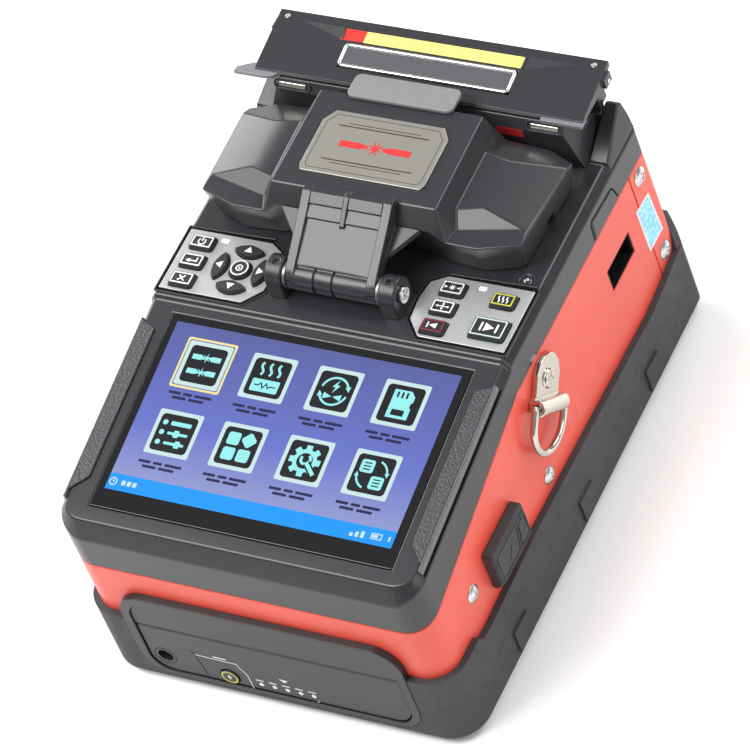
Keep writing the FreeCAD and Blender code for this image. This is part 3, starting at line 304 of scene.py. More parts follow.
# Lighter grey for the lid's catch tabs and the heater's thin ribs: painted reflection and painted highlight,
# the light they catch painted into their colour.
PAINTED_HIGHLIGHT_GREY = moulded_plastic("painted_highlight_grey", linear(112, 112, 116), 0.4)
PLATE_METAL = metal("nameplate_metal", linear(172, 170, 160), 0.42, (14, 1, 1))
SILVER_METAL = metal("machined_metal", linear(190, 190, 192), 0.3, (1, 14, 14))
DULL_METAL = metal("dull_metal", linear(128, 124, 118), 0.4)
CHROME_SOFT = metal("rim_chrome", linear(226, 226, 226), 0.2, (2, 2, 2))
SMOKY = smoky_plastic()
LAMP = printed("lamp_window", linear(228, 230, 236), 0.2)
DARK_METAL = metal("dark_metal", linear(74, 75, 80), 0.42, (1, 1, 1))
CERAMIC = printed("white_ceramic", linear(232, 230, 224), 0.3)
BOARD = printed("circuit_board", linear(24, 92, 52), 0.45)
WHITE_INK = printed("white_ink", linear(226, 227, 228), 0.5)
YELLOW_INK = printed("yellow_ink", linear(196, 190, 60), 0.5)
RED_INK = printed("red_ink", linear(196, 34, 40), 0.5)
TEAL_INK = printed("teal_ink", linear(190, 206, 204), 0.4)
DARK_RED_INK = printed("dark_red_ink", linear(120, 30, 38), 0.5)
PLATE_INK = printed("plate_ink", linear(52, 50, 48), 0.5)
YELLOW_LABEL = printed("yellow_label", linear(224, 217, 118), 0.4)
RED_LABEL = printed("red_label", linear(208, 44, 40), 0.4)
RED_LABEL_DARK = printed("red_label_dark", linear(176, 40, 44), 0.45)
ICON = printed("icon_cyan", linear(150, 235, 235), 0.2, SCREEN_GLOW)
ICON_EDGE = printed("icon_white", linear(200, 226, 226), 0.2, SCREEN_GLOW)
ICON_DARK = printed("icon_black", linear(14, 12, 18), 0.2)
BAR_BLUE = printed("bar_blue", linear(2, 150, 248), 0.2, SCREEN_GLOW)
MARK_YELLOW = printed("mark_yellow", linear(240, 226, 150), 0.2, SCREEN_GLOW)
MARK_INK = printed("mark_dark", linear(26, 22, 62), 0.2)


# ---------------------------------------------------------------- outlines, in a local plane
def rect(cx, cy, w, h):
    x0, x1, y0, y1 = cx - w / 2, cx + w / 2, cy - h / 2, cy + h / 2
    return [(x0, y0), (x1, y0), (x1, y1), (x0, y1)]


def arc_points(cx, cy, r, a0, a1, n):
    return [(cx + r * math.cos(a0 + (a1 - a0) * i / n), cy + r * math.sin(a0 + (a1 - a0) * i / n))
            for i in range(n + 1)]


def circle(cx, cy, r, n=28):
    return arc_points(cx, cy, r, 0, TAU, n)[:-1]


def rounded(cx, cy, w, h, r, n=5):
    out = []
    for i, (sx, sy) in enumerate(((1, 1), (-1, 1), (-1, -1), (1, -1))):
        out += arc_points(cx + sx * (w / 2 - r), cy + sy * (h / 2 - r), r, i * TAU / 4, (i + 1) * TAU / 4, n)
    return out


def lens(cx, cy, dx, dy, half, bulge, n=10):
    """Outline between two mirrored arcs, bulging along (dx, dy)."""
    radius = (half * half + bulge * bulge) / (2 * bulge)
    swing = math.asin(half / radius)
    out = []
    for side in (1, -1):
        for i in range(n):
            a = -swing + 2 * swing * i / n
            along, across = radius * math.sin(a) * side, (radius * math.cos(a) - radius + bulge) * side
            out.append((cx + dx * across + dy * along, cy + dy * across - dx * along))
    return out


def moved(points, x, y, scale=1.0, turn=0.0):
    """Outline scaled and turned about its origin, then moved to (x, y)."""
    c, s = math.cos(turn) * scale, math.sin(turn) * scale
    return [(x + px * c - py * s, y + px * s + py * c) for px, py in points]


def stroke(points, width, closed=False):
    """Outline of a line of even width with mitred corners."""
    n = len(points)
    left, right = [], []
    for i, p in enumerate(points):
        before = points[(i - 1) % n] if closed or i else None
        after = points[(i + 1) % n] if closed or i < n - 1 else None
        a = (Vector(p) - Vector(before)).normalized() if before else (Vector(after) - Vector(p)).normalized()
        b = (Vector(after) - Vector(p)).normalized() if after else a
        mid = (a + b).normalized()
        reach = width / 2 / max(0.35, mid.dot(a))
        side = Vector((-mid.y, mid.x)) * reach
        left.append((p[0] + side.x, p[1] + side.y))
        right.append((p[0] - side.x, p[1] - side.y))
    return left, right


# ---------------------------------------------------------------- solids
class Solid:
    """Collects closed solids in one local frame, in millimetres, into one mesh."""

    def __init__(self, place=None):
        self.place = place or Matrix.Identity(4)
        self.verts = []
        self.faces = []

    def ring(self, points):
        start = len(self.verts)
        self.verts += [self.place @ Vector(p) for p in points]
        return list(range(start, start + len(points)))

    def join(self, a, b):
        n = len(a)
        for i in range(n):
            j = (i + 1) % n
            self.faces.append((a[i], a[j], b[j], b[i]))

    def loft(self, loops, closed=False):
        """Skin over equal loops of points; the ends are capped unless the loft closes on itself."""
        rings = [self.ring(loop) for loop in loops]
        for a, b in zip(rings, rings[1:]):
            self.join(a, b)
        if closed:
            self.join(rings[-1], rings[0])
        else:
            self.faces.append(tuple(reversed(rings[0])))
            self.faces.append(tuple(rings[-1]))
        return self

    def prism(self, outline, z0, z1):
        return self.loft([[(x, y, z) for x, y in outline] for z in (z0, z1)])

    def band(self, outer, inner, z0, z1):
        """Closed strip between two loops, as a solid with a hole."""
        corners = ((outer, z0), (outer, z1), (inner, z1), (inner, z0))
        return self.loft([[(x, y, z) for x, y in loop] for loop, z in corners], closed=True)

    def line(self, points, width, z0, z1, closed=False):
        left, right = stroke(points, width, closed)
        if closed:
            return self.band(left, right, z0, z1)
        return self.prism(left + right[::-1], z0, z1)

    def dome(self, cx, cy, profile, n=28):
        """Turned solid about the local Z axis, from (radius, height) pairs going up."""
        return self.loft([[(cx + r * math.cos(TAU * i / n), cy + r * math.sin(TAU * i / n), z)
                           for i in range(n)] for r, z in profile])

    def make(self, name, mat, body, slot=None, bevel=0.0, segments=2, angle=30, smooth=True):
        mesh = bpy.data.meshes.new(name)
        mesh.from_pydata([v * MM for v in self.verts], [], self.faces)
        return register(mesh, name, mat, body, bevel, segments, angle, smooth)


def tidy(mesh, weld_mm=0.002, flat_deg=0.6, merge=True):
    """Welds corners, merges the triangles of flat faces and makes normals point outwards."""
    bm = bmesh.new()
    bm.from_mesh(mesh)
    bmesh.ops.remove_doubles(bm, verts=bm.verts, dist=weld_mm * MM)
    if merge:
        bmesh.ops.dissolve_limit(bm, angle_limit=math.radians(flat_deg), verts=bm.verts, edges=bm.edges)
    bmesh.ops.recalc_face_normals(bm, faces=bm.faces)
    bm.to_mesh(mesh)
    bm.free()


ROUNDED_SHARP = 60             # degrees; on a piece with rounded edges only steeper ones stay sharp


def shaped(mesh, name, mat, bevel, segments, angle, smooth):
    """Object with its material, shading and, where asked, rounded edges."""
    piece = bpy.data.objects.new(name, mesh)
    bpy.context.collection.objects.link(piece)
    mesh.materials.clear()
    mesh.materials.append(mat)
    mesh.polygons.foreach_set("use_smooth", [smooth] * len(mesh.polygons))
    if smooth:
        mesh.set_sharp_from_angle(angle=math.radians(ROUNDED_SHARP if bevel else angle))
    if bevel:
        mod = piece.modifiers.new("soft_edges", "BEVEL")
        mod.width = bevel * MM
        mod.segments = segments
        mod.limit_method = "ANGLE"
        mod.angle_limit = math.radians(angle)
        mod.use_clamp_overlap = False
        mod.harden_normals = True
        mod.miter_outer = "MITER_ARC"
    return piece


def register(mesh, name, mat, body, bevel, segments, angle, smooth):
    tidy(mesh, merge=False)
    piece = shaped(mesh, name, mat, bevel, segments, angle, smooth)
    if body:
        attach(piece, body)
    return piece


def folded_area(piece):
    """Area in square mm by which the finished mesh's polygons fold over themselves."""
    done = piece.evaluated_get(bpy.context.evaluated_depsgraph_get())
    mesh = done.to_mesh()
    mesh.calc_loop_triangles()
    covered = [0.0] * len(mesh.polygons)
    for triangle in mesh.loop_triangles:
        covered[triangle.polygon_index] += triangle.area
    folded = sum(abs(c - polygon.area) for c, polygon in zip(covered, mesh.polygons))
    done.to_mesh_clear()
    return folded / MM ** 2


def strays(piece, reach):
    """Whether the rounding throws any corner further than this many mm from the plain surface."""
    mesh = piece.data
    plain = BVHTree.FromPolygons([v.co for v in mesh.vertices], [p.vertices for p in mesh.polygons])
    done = piece.evaluated_get(bpy.context.evaluated_depsgraph_get())
    far = any(plain.find_nearest(v.co)[3] > reach * MM for v in done.to_mesh().vertices)
    done.to_mesh_clear()
    return far


STRAY_REACH = 1.0              # mm
# Ways to round a CAD piece's edges, best first. Each says whether flat faces are merged, the share of the
# asked width, whether short edges hold the width back, and the folded area allowed in square mm.
ROUNDINGS = ((True, 1.0, False, 0.6), (False, 1.0, False, 8.0), (False, 0.5, False, 8.0),
             (False, 1.0, True, 8.0), (True, 0.0, True, math.inf))


def softened(node, mat, bevel, segments=2, angle=24):
    """Copy of a CAD piece with rounded edges and its own material, standing for that piece."""
    for merge, share, held, allowed in ROUNDINGS:
        mesh = frame["nodes"][node].data.copy()
        if mesh.has_custom_normals:
            mesh.attributes.remove(mesh.attributes["custom_normal"])
        tidy(mesh, merge=merge)
        piece = shaped(mesh, node + "_shape", mat, bevel * share, segments, angle, True)
        if not bevel or not share:
            break
        edges = piece.modifiers["soft_edges"]
        edges.use_clamp_overlap = held
        if not merge:
            edges.loop_slide = False
            edges.miter_outer = "MITER_SHARP"
            edges.harden_normals = False
            piece.modifiers.new("flat_faces", "WEIGHTED_NORMAL").keep_sharp = True
        if folded_area(piece) < allowed and not strays(piece, STRAY_REACH):
            break
        bpy.data.objects.remove(piece)
    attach(piece, BODY_OF[node])
    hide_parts(node)
    return piece


def accent(piece, mat, test):
    """Gives the faces whose middle passes the test a second material."""
    piece.data.materials.append(mat)
    for polygon in piece.data.polygons:
        if test(polygon.center / MM):
            polygon.material_index = 1


def repaint(mat, *nodes):
    """Gives CAD pieces that keep their shape a better material."""
    for node in nodes:
        for material_slot in frame["nodes"][node].material_slots:
            material_slot.material = mat


# ---------------------------------------------------------------- housing
def housing():
    softened("bumper", RUBBER, 0.6, 3)
    softened("side_shell", RED, 0.35)
    softened("rear_panel", RED, 0.35)
    softened("top_frame", BLACK, 0.6, 3)
    softened("battery_frame", BLACK_FINE, 0.5)
    softened("bay_cover", BLACK_FINE, 0.5)
    softened("battery_pack", BLACK_FINE, 0.4)
    softened("card_slot", DARK_EDGE, 0.15)
    softened("case_screws", STEEL, 0.2)
    softened("strap_lugs", CHROME, 0.35)
    softened("strap_ring_right", CHROME, 0.0)
    softened("strap_ring_left", CHROME, 0.0)
    softened("grip_strips", GRIP, 0.3)
    edge_ridges()


def edge_ridges():
    """Rounded rib along each edge of the sloped end, lighter grey as a painted highlight, and the fine groove
    outside it, dark as painted shade.
    """
    strip_low, strip_high = low("grip_strips"), high("grip_strips")
    back, front = strip_high.y + 1.0, strip_low.y - 2.5
    rib_side = [(66.0, -1.2), (66.0, 0.6), (66.25, 0.9), (66.6, 0.85), (66.9, 0.45), (67.0, -0.4),
                (67.1, -1.9)]
    groove_side = [(67.1, -2.0), (67.25, -2.05), (67.75, -2.65), (67.6, -3.0), (67.0, -2.4)]
    for side, name in ((1, "right"), (-1, "left")):
        for outline, mat, piece in ((rib_side, RIB_PAINTED_HIGHLIGHT, "edge_rib_"),
                                    (groove_side, DARK_EDGE, "edge_groove_")):
            loops = []
            for y in (front, back):
                along = (y - LCD.y) / math.cos(TILT)
                loops.append([(side * x, along, z) for x, z in outline])
            strip = Solid(SLOPE).loft(loops if side > 0 else loops[::-1])
            strip.make(piece + name, mat, "chassis", "black_plastic", 0.15)


# ---------------------------------------------------------------- display
INK = 0.035                    # thickness of one printed or lit layer
PRINT = (-0.02, INK)           # lower and upper height of a print on a surface
SCREEN_W, SCREEN_H = LCD_W - 0.8, LCD_H - 0.8
ICON_COLUMNS = (-37.4, -12.9, 12.0, 36.9)
ICON_ROWS = (17.9, -8.3)
ICON_SIZE = 16.6
LABEL_DROP = 12.3
BAR_TOP, BAR_LOW = -26.0, -SCREEN_H / 2


def lit(solid, name, mat):
    """Flat piece of the display."""
    solid.make(name, mat, "chassis", "display_panel", smooth=False)


def layer(n):
    """Lower and upper height of the nth lit layer above the glass."""
    return INK * n, INK * (n + 1) - 0.005


def spark(solid, x, y, outer, inner, z, rays=8):
    points = []
    for i in range(2 * rays):
        r = inner if i % 2 else outer
        a = TAU * i / (2 * rays) + TAU / 16
        points.append((x + r * math.cos(a), y + r * math.sin(a)))
    solid.prism(points, *z)


def wave(solid, x, y, height, swing, width, z, n=12):
    points = [(x + swing * math.sin(TAU * i / n), y + height * (i / n - 0.5)) for i in range(n + 1)]
    solid.line(points, width, *z)


def arrow_head(solid, x, y, angle, size, z):
    tip = [(size, 0), (-size * 0.6, size * 0.85), (-size * 0.6, -size * 0.85)]
    solid.prism(moved(tip, x, y, 1.0, angle), *z)


def arc_arrow(solid, cx, cy, r, a0, a1, width, z, head=1.2):
    """Part of a ring that ends in an arrow head."""
    solid.line(arc_points(cx, cy, r, a0, a1, 14), width, *z)
    way = 1 if a1 > a0 else -1
    end = a1 + way * 0.12
    arrow_head(solid, cx + r * math.cos(end), cy + r * math.sin(end), end + way * TAU / 4, head, z)


def bolt(solid, x, y, size, z):
    shape = [(0.25, 1.0), (-0.55, -0.1), (-0.05, -0.1), (-0.3, -1.0), (0.55, 0.2), (0.05, 0.2)]
    solid.prism(moved(shape, x, y, size), *z)


def icon_splice(light, dark, z, over):
    for y in (2.7, -2.7):
        for side in (1, -1):
            tip = [(5.4, 0.95), (2.1, 0.95), (0.9, 0.15), (0.9, -0.15), (2.1, -0.95), (5.4, -0.95)]
            light.prism([(side * px, y + py) for px, py in tip][::side], *z)
        spark(light, 0, y, 1.9, 0.55, z, 6)


def icon_heat(light, dark, z, over):
    for x in (-3.2, 0.0, 3.2):
        wave(light, x, 3.1, 4.6, 0.55, 0.85, z)
    light.prism(rounded(0, -3.0, 10.2, 4.6, 0.5), *z)
    pulse = [(-4.0, -3.0), (-2.4, -3.0), (-1.6, -2.1), (-0.6, -3.9), (0.4, -2.1), (1.3, -3.7), (2.0, -3.0),
             (4.0, -3.0)]
    dark.line(pulse, 0.42, *over)


def icon_discharge(light, dark, z, over):
    arc_arrow(light, 0, 0, 5.0, 2.9, 0.45, 0.75, z)
    arc_arrow(light, 0, 0, 5.0, 2.9 + math.pi, 0.45 + math.pi, 0.75, z)
    bolt(light, 0.2, 1.8, 2.5, z)
    for side in (1, -1):
        wing = [(0.2, -2.0), (3.3, -0.8), (3.3, -3.2)]
        light.prism([(side * px, py) for px, py in wing][::side], *z)


def icon_memory(light, dark, z, over):
    card = [(-4.0, -5.2), (3.9, -5.2), (3.9, -1.2), (3.2, -0.6), (3.2, 0.8), (3.9, 1.4), (3.9, 3.4),
            (2.2, 5.2), (-4.0, 5.2)]
    light.prism(card, *z)
    for x in (-2.3, -0.6, 1.1):
        dark.prism(rect(x, 3.4, 0.75, 2.1), *over)
    dark.prism(rect(-0.2, -3.1, 4.6, 2.2), *over)


def icon_options(light, dark, z, over):
    for y, knob in ((3.7, None), (0.0, 0.8), (-3.7, 2.6)):
        light.prism(circle(-4.7, y, 0.95, 16), *z)
        light.prism(rounded(1.3, y, 7.6, 1.5 if knob is None else 1.0, 0.3), *z)
        if knob is not None:
            light.prism(rounded(knob, y, 2.0, 2.6, 0.5), z[0] + 0.004, z[1] + 0.004)


def icon_menu(light, dark, z, over):
    for x, y in ((-2.8, 2.8), (-2.8, -2.8), (2.8, -2.8)):
        light.prism(rounded(x, y, 4.6, 4.6, 0.9), *z)
    light.prism(moved(rounded(0, 0, 4.3, 4.3, 0.9), 2.9, 3.0, 1.0, TAU / 8), *z)


def icon_service(light, dark, z, over):
    gear = []
    teeth = 8
    for i in range(teeth):
        a = TAU * i / teeth
        for r, da in ((4.3, -0.26), (5.8, -0.18), (5.8, 0.18), (4.3, 0.26)):
            gear.append((r * math.cos(a + da), r * math.sin(a + da)))
    hub = [(2.9 * math.cos(math.atan2(y, x)), 2.9 * math.sin(math.atan2(y, x))) for x, y in gear]
    light.band(gear, hub, *z)
    jaw = arc_points(0.2, 0.6, 1.7, math.radians(150), math.radians(420), 12)
    light.line(jaw, 0.95, *z)
    dark.line([(0.9, -0.6), (4.9, -4.6)], 2.5, z[1], z[1] + 0.008)
    light.line([(0.7, -0.4), (4.8, -4.5)], 1.35, *over)


def icon_swap(light, dark, z, over):
    for x, y in ((-2.6, 2.7), (2.6, -2.7)):
        light.prism(rounded(x, y, 4.9, 4.7, 0.9), *z)
        for k in (1, 0, -1):
            dark.prism(rect(x, y + 1.15 * k, 2.6, 0.45), *over)
    arc_arrow(light, 0, 0, 5.3, 1.25, 0.25, 0.7, z, 1.0)
    arc_arrow(light, 0, 0, 5.3, 1.25 + math.pi, 0.25 + math.pi, 0.7, z, 1.0)


ICONS = (icon_splice, icon_heat, icon_discharge, icon_memory,
         icon_options, icon_menu, icon_service, icon_swap)


def display():
    softened("lcd_lens", GLASS, 0.3, 3)
    repaint(BLACK_FINE, "lcd_panel")
    screen = Solid(SLOPE)
    screen.prism(rounded(0, (SCREEN_H / 2 + BAR_TOP) / 2, SCREEN_W, SCREEN_H / 2 - BAR_TOP, 0.1), *layer(0))
    lit(screen, "screen_ground", screen_ground())
    bar = Solid(SLOPE)
    bar.prism(rect(0, (BAR_TOP + BAR_LOW) / 2, SCREEN_W, BAR_TOP - BAR_LOW), *layer(0))
    lit(bar, "screen_status_bar", BAR_BLUE)
    ink = Solid(SLOPE)
    for number, glyph in enumerate(ICONS):
        x, y = ICON_COLUMNS[number % 4], ICON_ROWS[number // 4]
        place = SLOPE @ Matrix.Translation((x, y, 0))
        tile(place, number)
        light, dark = Solid(place), Solid(place)
        glyph(light, dark, layer(3), layer(4))
        name = "screen_" + glyph.__name__
        lit(light, name, ICON)
        if dark.faces:
            lit(dark, name + "_lines", ICON_DARK)
        label(ink, x, y - LABEL_DROP)
    lit(ink, "screen_captions", MARK_INK)
    status_marks()


def tile(place, number):
    """Rounded frame of an icon with its dark middle; the first one is outlined as chosen."""
    frame_ring, inside = Solid(place), Solid(place)
    frame_ring.band(rounded(0, 0, ICON_SIZE, ICON_SIZE, 0.7), rounded(0, 0, 13.8, 13.8, 1.5), *layer(2))
    lit(frame_ring, "screen_tile_%d" % number, ICON_EDGE)
    inside.prism(rounded(0, 0, 14.2, 14.2, 1.5), *layer(1))
    lit(inside, "screen_tile_middle_%d" % number, ICON_DARK)
    if number == 0:
        chosen = Solid(place)
        chosen.band(rounded(0, 0, 18.9, 18.9, 0.8), rounded(0, 0, 17.3, 17.3, 0.6), *layer(2))
        lit(chosen, "screen_chosen", MARK_YELLOW)


def label(ink, x, y):
    """Caption under an icon: two rows of dashes that stand for words and spell nothing."""
    for rise, dashes in ((0.8, ((-6.2, 4.6), (-1.2, 3.4), (4.6, 6.4))), (-0.9, ((-3.9, 5.2), (2.6, 5.8)))):
        for centre, length in dashes:
            ink.prism(rounded(x + centre, y + rise, length, 1.0, 0.3), *layer(1))


def status_marks():
    marks = Solid(SLOPE)
    y = (BAR_TOP + BAR_LOW) / 2
    marks.band(circle(-51.5, y, 1.5, 20), circle(-51.5, y, 1.1, 20), *layer(2))
    marks.line([(-51.5, y + 0.9), (-51.5, y), (-50.8, y)], 0.35, *layer(2))
    for k in range(3):
        marks.prism(rect(-47.6 + 2.1 * k, y, 1.4, 1.7), *layer(2))
    for k in range(3):
        marks.prism(rect(38.2 + 2.0 * k, y - 0.9 + 0.3 * k, 1.2, 1.2 + 0.6 * k), *layer(2))
    marks.band(rect(47.2, y, 4.0, 2.2), rect(47.2, y, 3.3, 1.5), *layer(2))
    marks.prism(rect(46.7, y, 2.0, 1.0), *layer(2))
    marks.prism(rect(51.9, y, 0.7, 1.6), *layer(2))
    lit(marks, "screen_status_marks", ICON_EDGE)


# ---------------------------------------------------------------- key plates and keys
KEY_RISE = KEY_TOP - PLATE_TOP
CAP_INSET = 0.45               # how far a cap draws in towards its top
OUTLINE_W = 0.5


def plate_outline(node):
    points = [(v.co.x / MM, v.co.y / MM) for v in frame["nodes"][node].data.vertices]
    return [points[i] for i in geometry.convex_hull_2d([Vector(p) for p in points])]


def offset(outline, grow):
    """Convex outline moved outwards by grow, with mitred corners."""
    n = len(outline)
    out = []
    for i in range(n):
        a, p, b = (Vector(outline[k % n]) for k in (i - 1, i, i + 1))
        u, v = (p - a).normalized(), (b - p).normalized()
        mid = Vector((u.y + v.y, -u.x - v.x)).normalized()
        out.append(tuple(p + mid * grow / max(0.5, mid.dot(Vector((u.y, -u.x))))))
    return out


def key_plates():
    for side, lamp_x in (("left", -50.4), ("right", 47.1)):
        node = "key_plate_" + side
        softened(node, SILVER, 0.18, 2)
        outline = plate_outline(node)
        Solid(DECK).band(offset(outline, 0.95), offset(outline, 0.02), -0.4, 0.07).make(
            node + "_groove", DARK_EDGE, "chassis", "black_plastic", smooth=False)
        Solid(DECK).band(offset(outline, 1.5), offset(outline, 0.9), -0.4, 0.34).make(
            node + "_lip", BLACK, "chassis", "black_plastic", 0.15)
        lamp = rounded(lamp_x, 17.3, 3.0, 1.9, 0.5)
        Solid(DECK).prism(lamp, 0.2, PLATE_TOP - DECK_Z + 0.12).make(
            node + "_lamp", LAMP, "chassis", "clear_window", 0.1)


def superellipse(cx, cy, along, half, width, power=1.45, n=36):
    """Pointed oval with its long half-axis along a direction."""
    dx, dy = along
    out = []
    for i in range(n):
        c, s = math.cos(TAU * i / n), math.sin(TAU * i / n)
        a = half * math.copysign(abs(c) ** (2 / power), c)
        b = width * math.copysign(abs(s) ** (2 / power), s)
        out.append((cx + dx * a - dy * b, cy + dy * a + dx * b))
    return out


def key_shape(node):
    """Outline of a key cap, drawn in by a given amount."""
    centre, corner = middle(node), high(node)
    w, d = 2 * (corner.x - centre.x), 2 * (corner.y - centre.y)
    if node in ("up_key", "down_key"):
        return lambda inset: superellipse(centre.x, centre.y, (1, 0), w / 2 - inset, d / 2 - inset)
    if node in ("left_key", "right_key"):
        return lambda inset: superellipse(centre.x, centre.y, (0, 1), d / 2 - inset, w / 2 - inset)
    if node == "ok_key":
        return lambda inset: circle(centre.x, centre.y, w / 2 - inset, 36)
    return lambda inset: rounded(centre.x, centre.y, w - 2 * inset, d - 2 * inset, max(0.3, 1.1 - inset))


def key_cap(node):
    """Moulded cap: upright below the plate, drawn in above it, with a drawn-in edge round its flat top."""
    shape = key_shape(node)
    levels = [(0.0, low(node).z), (0.0, PLATE_TOP + 0.35 * KEY_RISE), (0.12, PLATE_TOP + 0.55 * KEY_RISE),
              (CAP_INSET, KEY_TOP - 0.12), (CAP_INSET + 0.14, KEY_TOP)]
    piece = Solid().loft([[(x, y, z) for x, y in shape(inset)] for inset, z in levels])
    piece = piece.make(node + "_cap", KEY, BODY_OF[node], SLOT_OF[node], angle=40)
    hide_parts(node)
    return shape


def sign_power(s, z):
    s.line(arc_points(0, -0.1, 1.3, math.radians(130), math.radians(410), 16), 0.5, *z)
    s.prism(rect(0, 0.8, 0.5, 1.6), *z)


def sign_enter(s, z):
    s.line([(1.9, 1.0), (1.9, -0.5), (-0.6, -0.5)], 0.5, *z)
    arrow_head(s, -1.2, -0.5, math.pi, 1.0, z)


def sign_cancel(s, z):
    s.line([(-1.2, -1.1), (1.2, 1.1)], 0.5, *z)
    s.line([(-1.2, 1.1), (1.2, -1.1)], 0.5, z[0], z[1] + 0.006)


def sign_arc(s, z):
    spark(s, 0, 0, 1.35, 0.5, z)
    for side in (1, -1):
        s.prism([(side * x, y) for x, y in ((1.5, 0), (2.9, 0.55), (2.9, -0.55))][::-side], *z)


def sign_view(s, z):
    s.line([(-1.6, 0), (1.6, 0)], 0.35, *z)
    s.line([(0, -0.6), (0, 0.6)], 0.35, z[0], z[1] + 0.006)
    for x, y, a in ((2.0, 0, 0), (-2.0, 0, math.pi), (0, 1.05, TAU / 4), (0, -1.05, -TAU / 4)):
        arrow_head(s, x, y, a, 0.62, z)


def sign_reset(s, z):
    """Arrow that points back to a bar."""
    s.prism([(-1.3, 0), (1.5, -1.15), (1.5, 1.15)], *z)
    s.prism(rect(-1.8, 0, 0.5, 2.3), *z)


def sign_heat(s, z):
    for x in (-1.5, 0, 1.5):
        wave(s, x, 0, 2.5, 0.32, 0.5, z)


def sign_splice(s, z):
    s.prism([(-1.5, -1.75), (2.0, 0), (-1.5, 1.75)], *z)
    s.prism(rect(-2.7, 0, 0.7, 3.5), *z)
    s.prism(rect(3.0, 0, 0.7, 3.5), *z)


def sign_ok(s, z):
    s.band(circle(0, 0, 1.35, 20), circle(0, 0, 0.9, 20), *z)
    s.prism(circle(0, 0, 0.42, 12), *z)


def pointing(dx, dy):
    def sign(s, z):
        tip = [(1.5, 0), (-0.9, 1.5), (-0.9, -1.5)]
        s.prism(moved(tip, 0, 0, 1.0, math.atan2(dy, dx)), *z)
    return sign


def keys():
    white = WHITE_INK
    signs = {
        "power_key": (sign_power, white), "enter_key": (sign_enter, white),
        "cancel_key": (sign_cancel, white), "arc_key": (sign_arc, white),
        "view_key": (sign_view, white), "reset_key": (sign_reset, DARK_RED_INK),
        "heat_key": (sign_heat, YELLOW_INK), "splice_key": (sign_splice, TEAL_INK),
        "ok_key": (sign_ok, white),
        "up_key": (pointing(0, 1), None), "down_key": (pointing(0, -1), None),
        "left_key": (pointing(-1, 0), None), "right_key": (pointing(1, 0), None),
    }
    for node, (sign, outline_ink) in signs.items():
        shape = key_cap(node)
        body = BODY_OF[node]
        centre = middle(node)
        symbol = Solid(Matrix.Translation((centre.x, centre.y, KEY_TOP)))
        sign(symbol, PRINT)
        symbol.make(node + "_sign", WHITE_INK, body, "white_ceramic", smooth=False)
        if outline_ink:
            edge = CAP_INSET + 0.3
            ring = Solid(Matrix.Translation((0, 0, KEY_TOP)))
            ring.band(shape(edge), shape(edge + OUTLINE_W), *PRINT)
            ring.make(node + "_outline", outline_ink, body, "white_ceramic", smooth=False)


# ---------------------------------------------------------------- windshield and its hinge
def windshield():
    softened("windshield", BLACK, 0.55, 3)
    softened("hinge_bracket", BLACK, 0.25, 3)
    softened("hinge_bosses", BLACK_FINE, 0.5, 3)
    softened("hinge_washers", DULL_METAL, 0.2)
    softened("hinge_shaft", STEEL, 0.25)
    softened("lift_tab", LIGHT_GREY, 0.45, 3)
    softened("nameplate", PLATE_METAL, 0.25, 3)
    plate_marks()
    set_screws()


PLATE_SLOPE = 1 / 40            # rise of the windshield's top towards the back


def plate_marks():
    """Engraved border and a generic sign of two fibers and a spark, in place of lettering."""
    corner_low, corner_high = low("nameplate"), high("nameplate")
    slope = math.atan(PLATE_SLOPE)
    centre = middle("nameplate")
    depth = corner_high.y - corner_low.y
    top = corner_high.z - depth / 2 * math.tan(slope)
    place = axes(Vector((0, centre.y, top)), (1, 0, 0), (0, math.cos(slope), math.sin(slope)),
                 (0, -math.sin(slope), math.cos(slope)))
    z = (-0.03, INK)
    border = Solid(place)
    w, d, cut = 43.6, depth - 3.4, 3.6
    outline = [(-w / 2 + 1, -d / 2), (w / 2 - 1, -d / 2), (w / 2, -d / 2 + 1.6), (w / 2, d / 2 - cut),
               (w / 2 - cut * 0.75, d / 2), (-w / 2 + cut * 0.75, d / 2), (-w / 2, d / 2 - cut),
               (-w / 2, -d / 2 + 1.6)]
    border.line(outline, 0.22, *z, closed=True)
    for y in (7.2, -7.2):
        border.prism(rect(0, y, 34.0, 0.5), *z)
        border.prism(rect(0, y + math.copysign(1.2, y), 27.0, 0.3), *z)
    border.make("nameplate_lines", PLATE_INK, "windshield", "silver_plate", smooth=False)
    sign = Solid(place)
    for side in (1, -1):
        fiber = [(2.6, 0.35), (5.4, 1.3), (13.5, 1.3), (13.5, -1.3), (5.4, -1.3), (2.6, -0.35)]
        sign.prism([(side * x, y) for x, y in fiber][::-side], *z)
    spark(sign, 0, 0, 3.6, 1.1, z)
    sign.make("nameplate_sign", RED_INK, "windshield", "silver_plate", smooth=False)


def set_screws():
    """Socket screws in the tops of the two hinge bosses."""
    boss = high("hinge_bosses")
    x = (boss.x + high("hinge_washers").x) / 2
    for side in (1, -1):
        s = Solid(Matrix.Translation((side * x, middle("hinge_bosses").y, boss.z)))
        profile = [(1.25, -1.3), (1.25, -0.45), (1.05, -0.25), (0.62, -0.25), (0.5, -0.9)]
        s.dome(0, 0, profile, 24)
        name = "boss_screw_right" if side > 0 else "boss_screw_left"
        s.make(name, DARK_METAL, "chassis", "dark_metal", angle=40)


# ---------------------------------------------------------------- heater
def pitched(origin, run, rise):
    """Frame on a face that climbs by rise over run towards the back."""
    size = math.hypot(run, rise)
    c, s = run / size, rise / size
    return axes(Vector(origin), (1, 0, 0), (0, c, s), (0, -s, c))


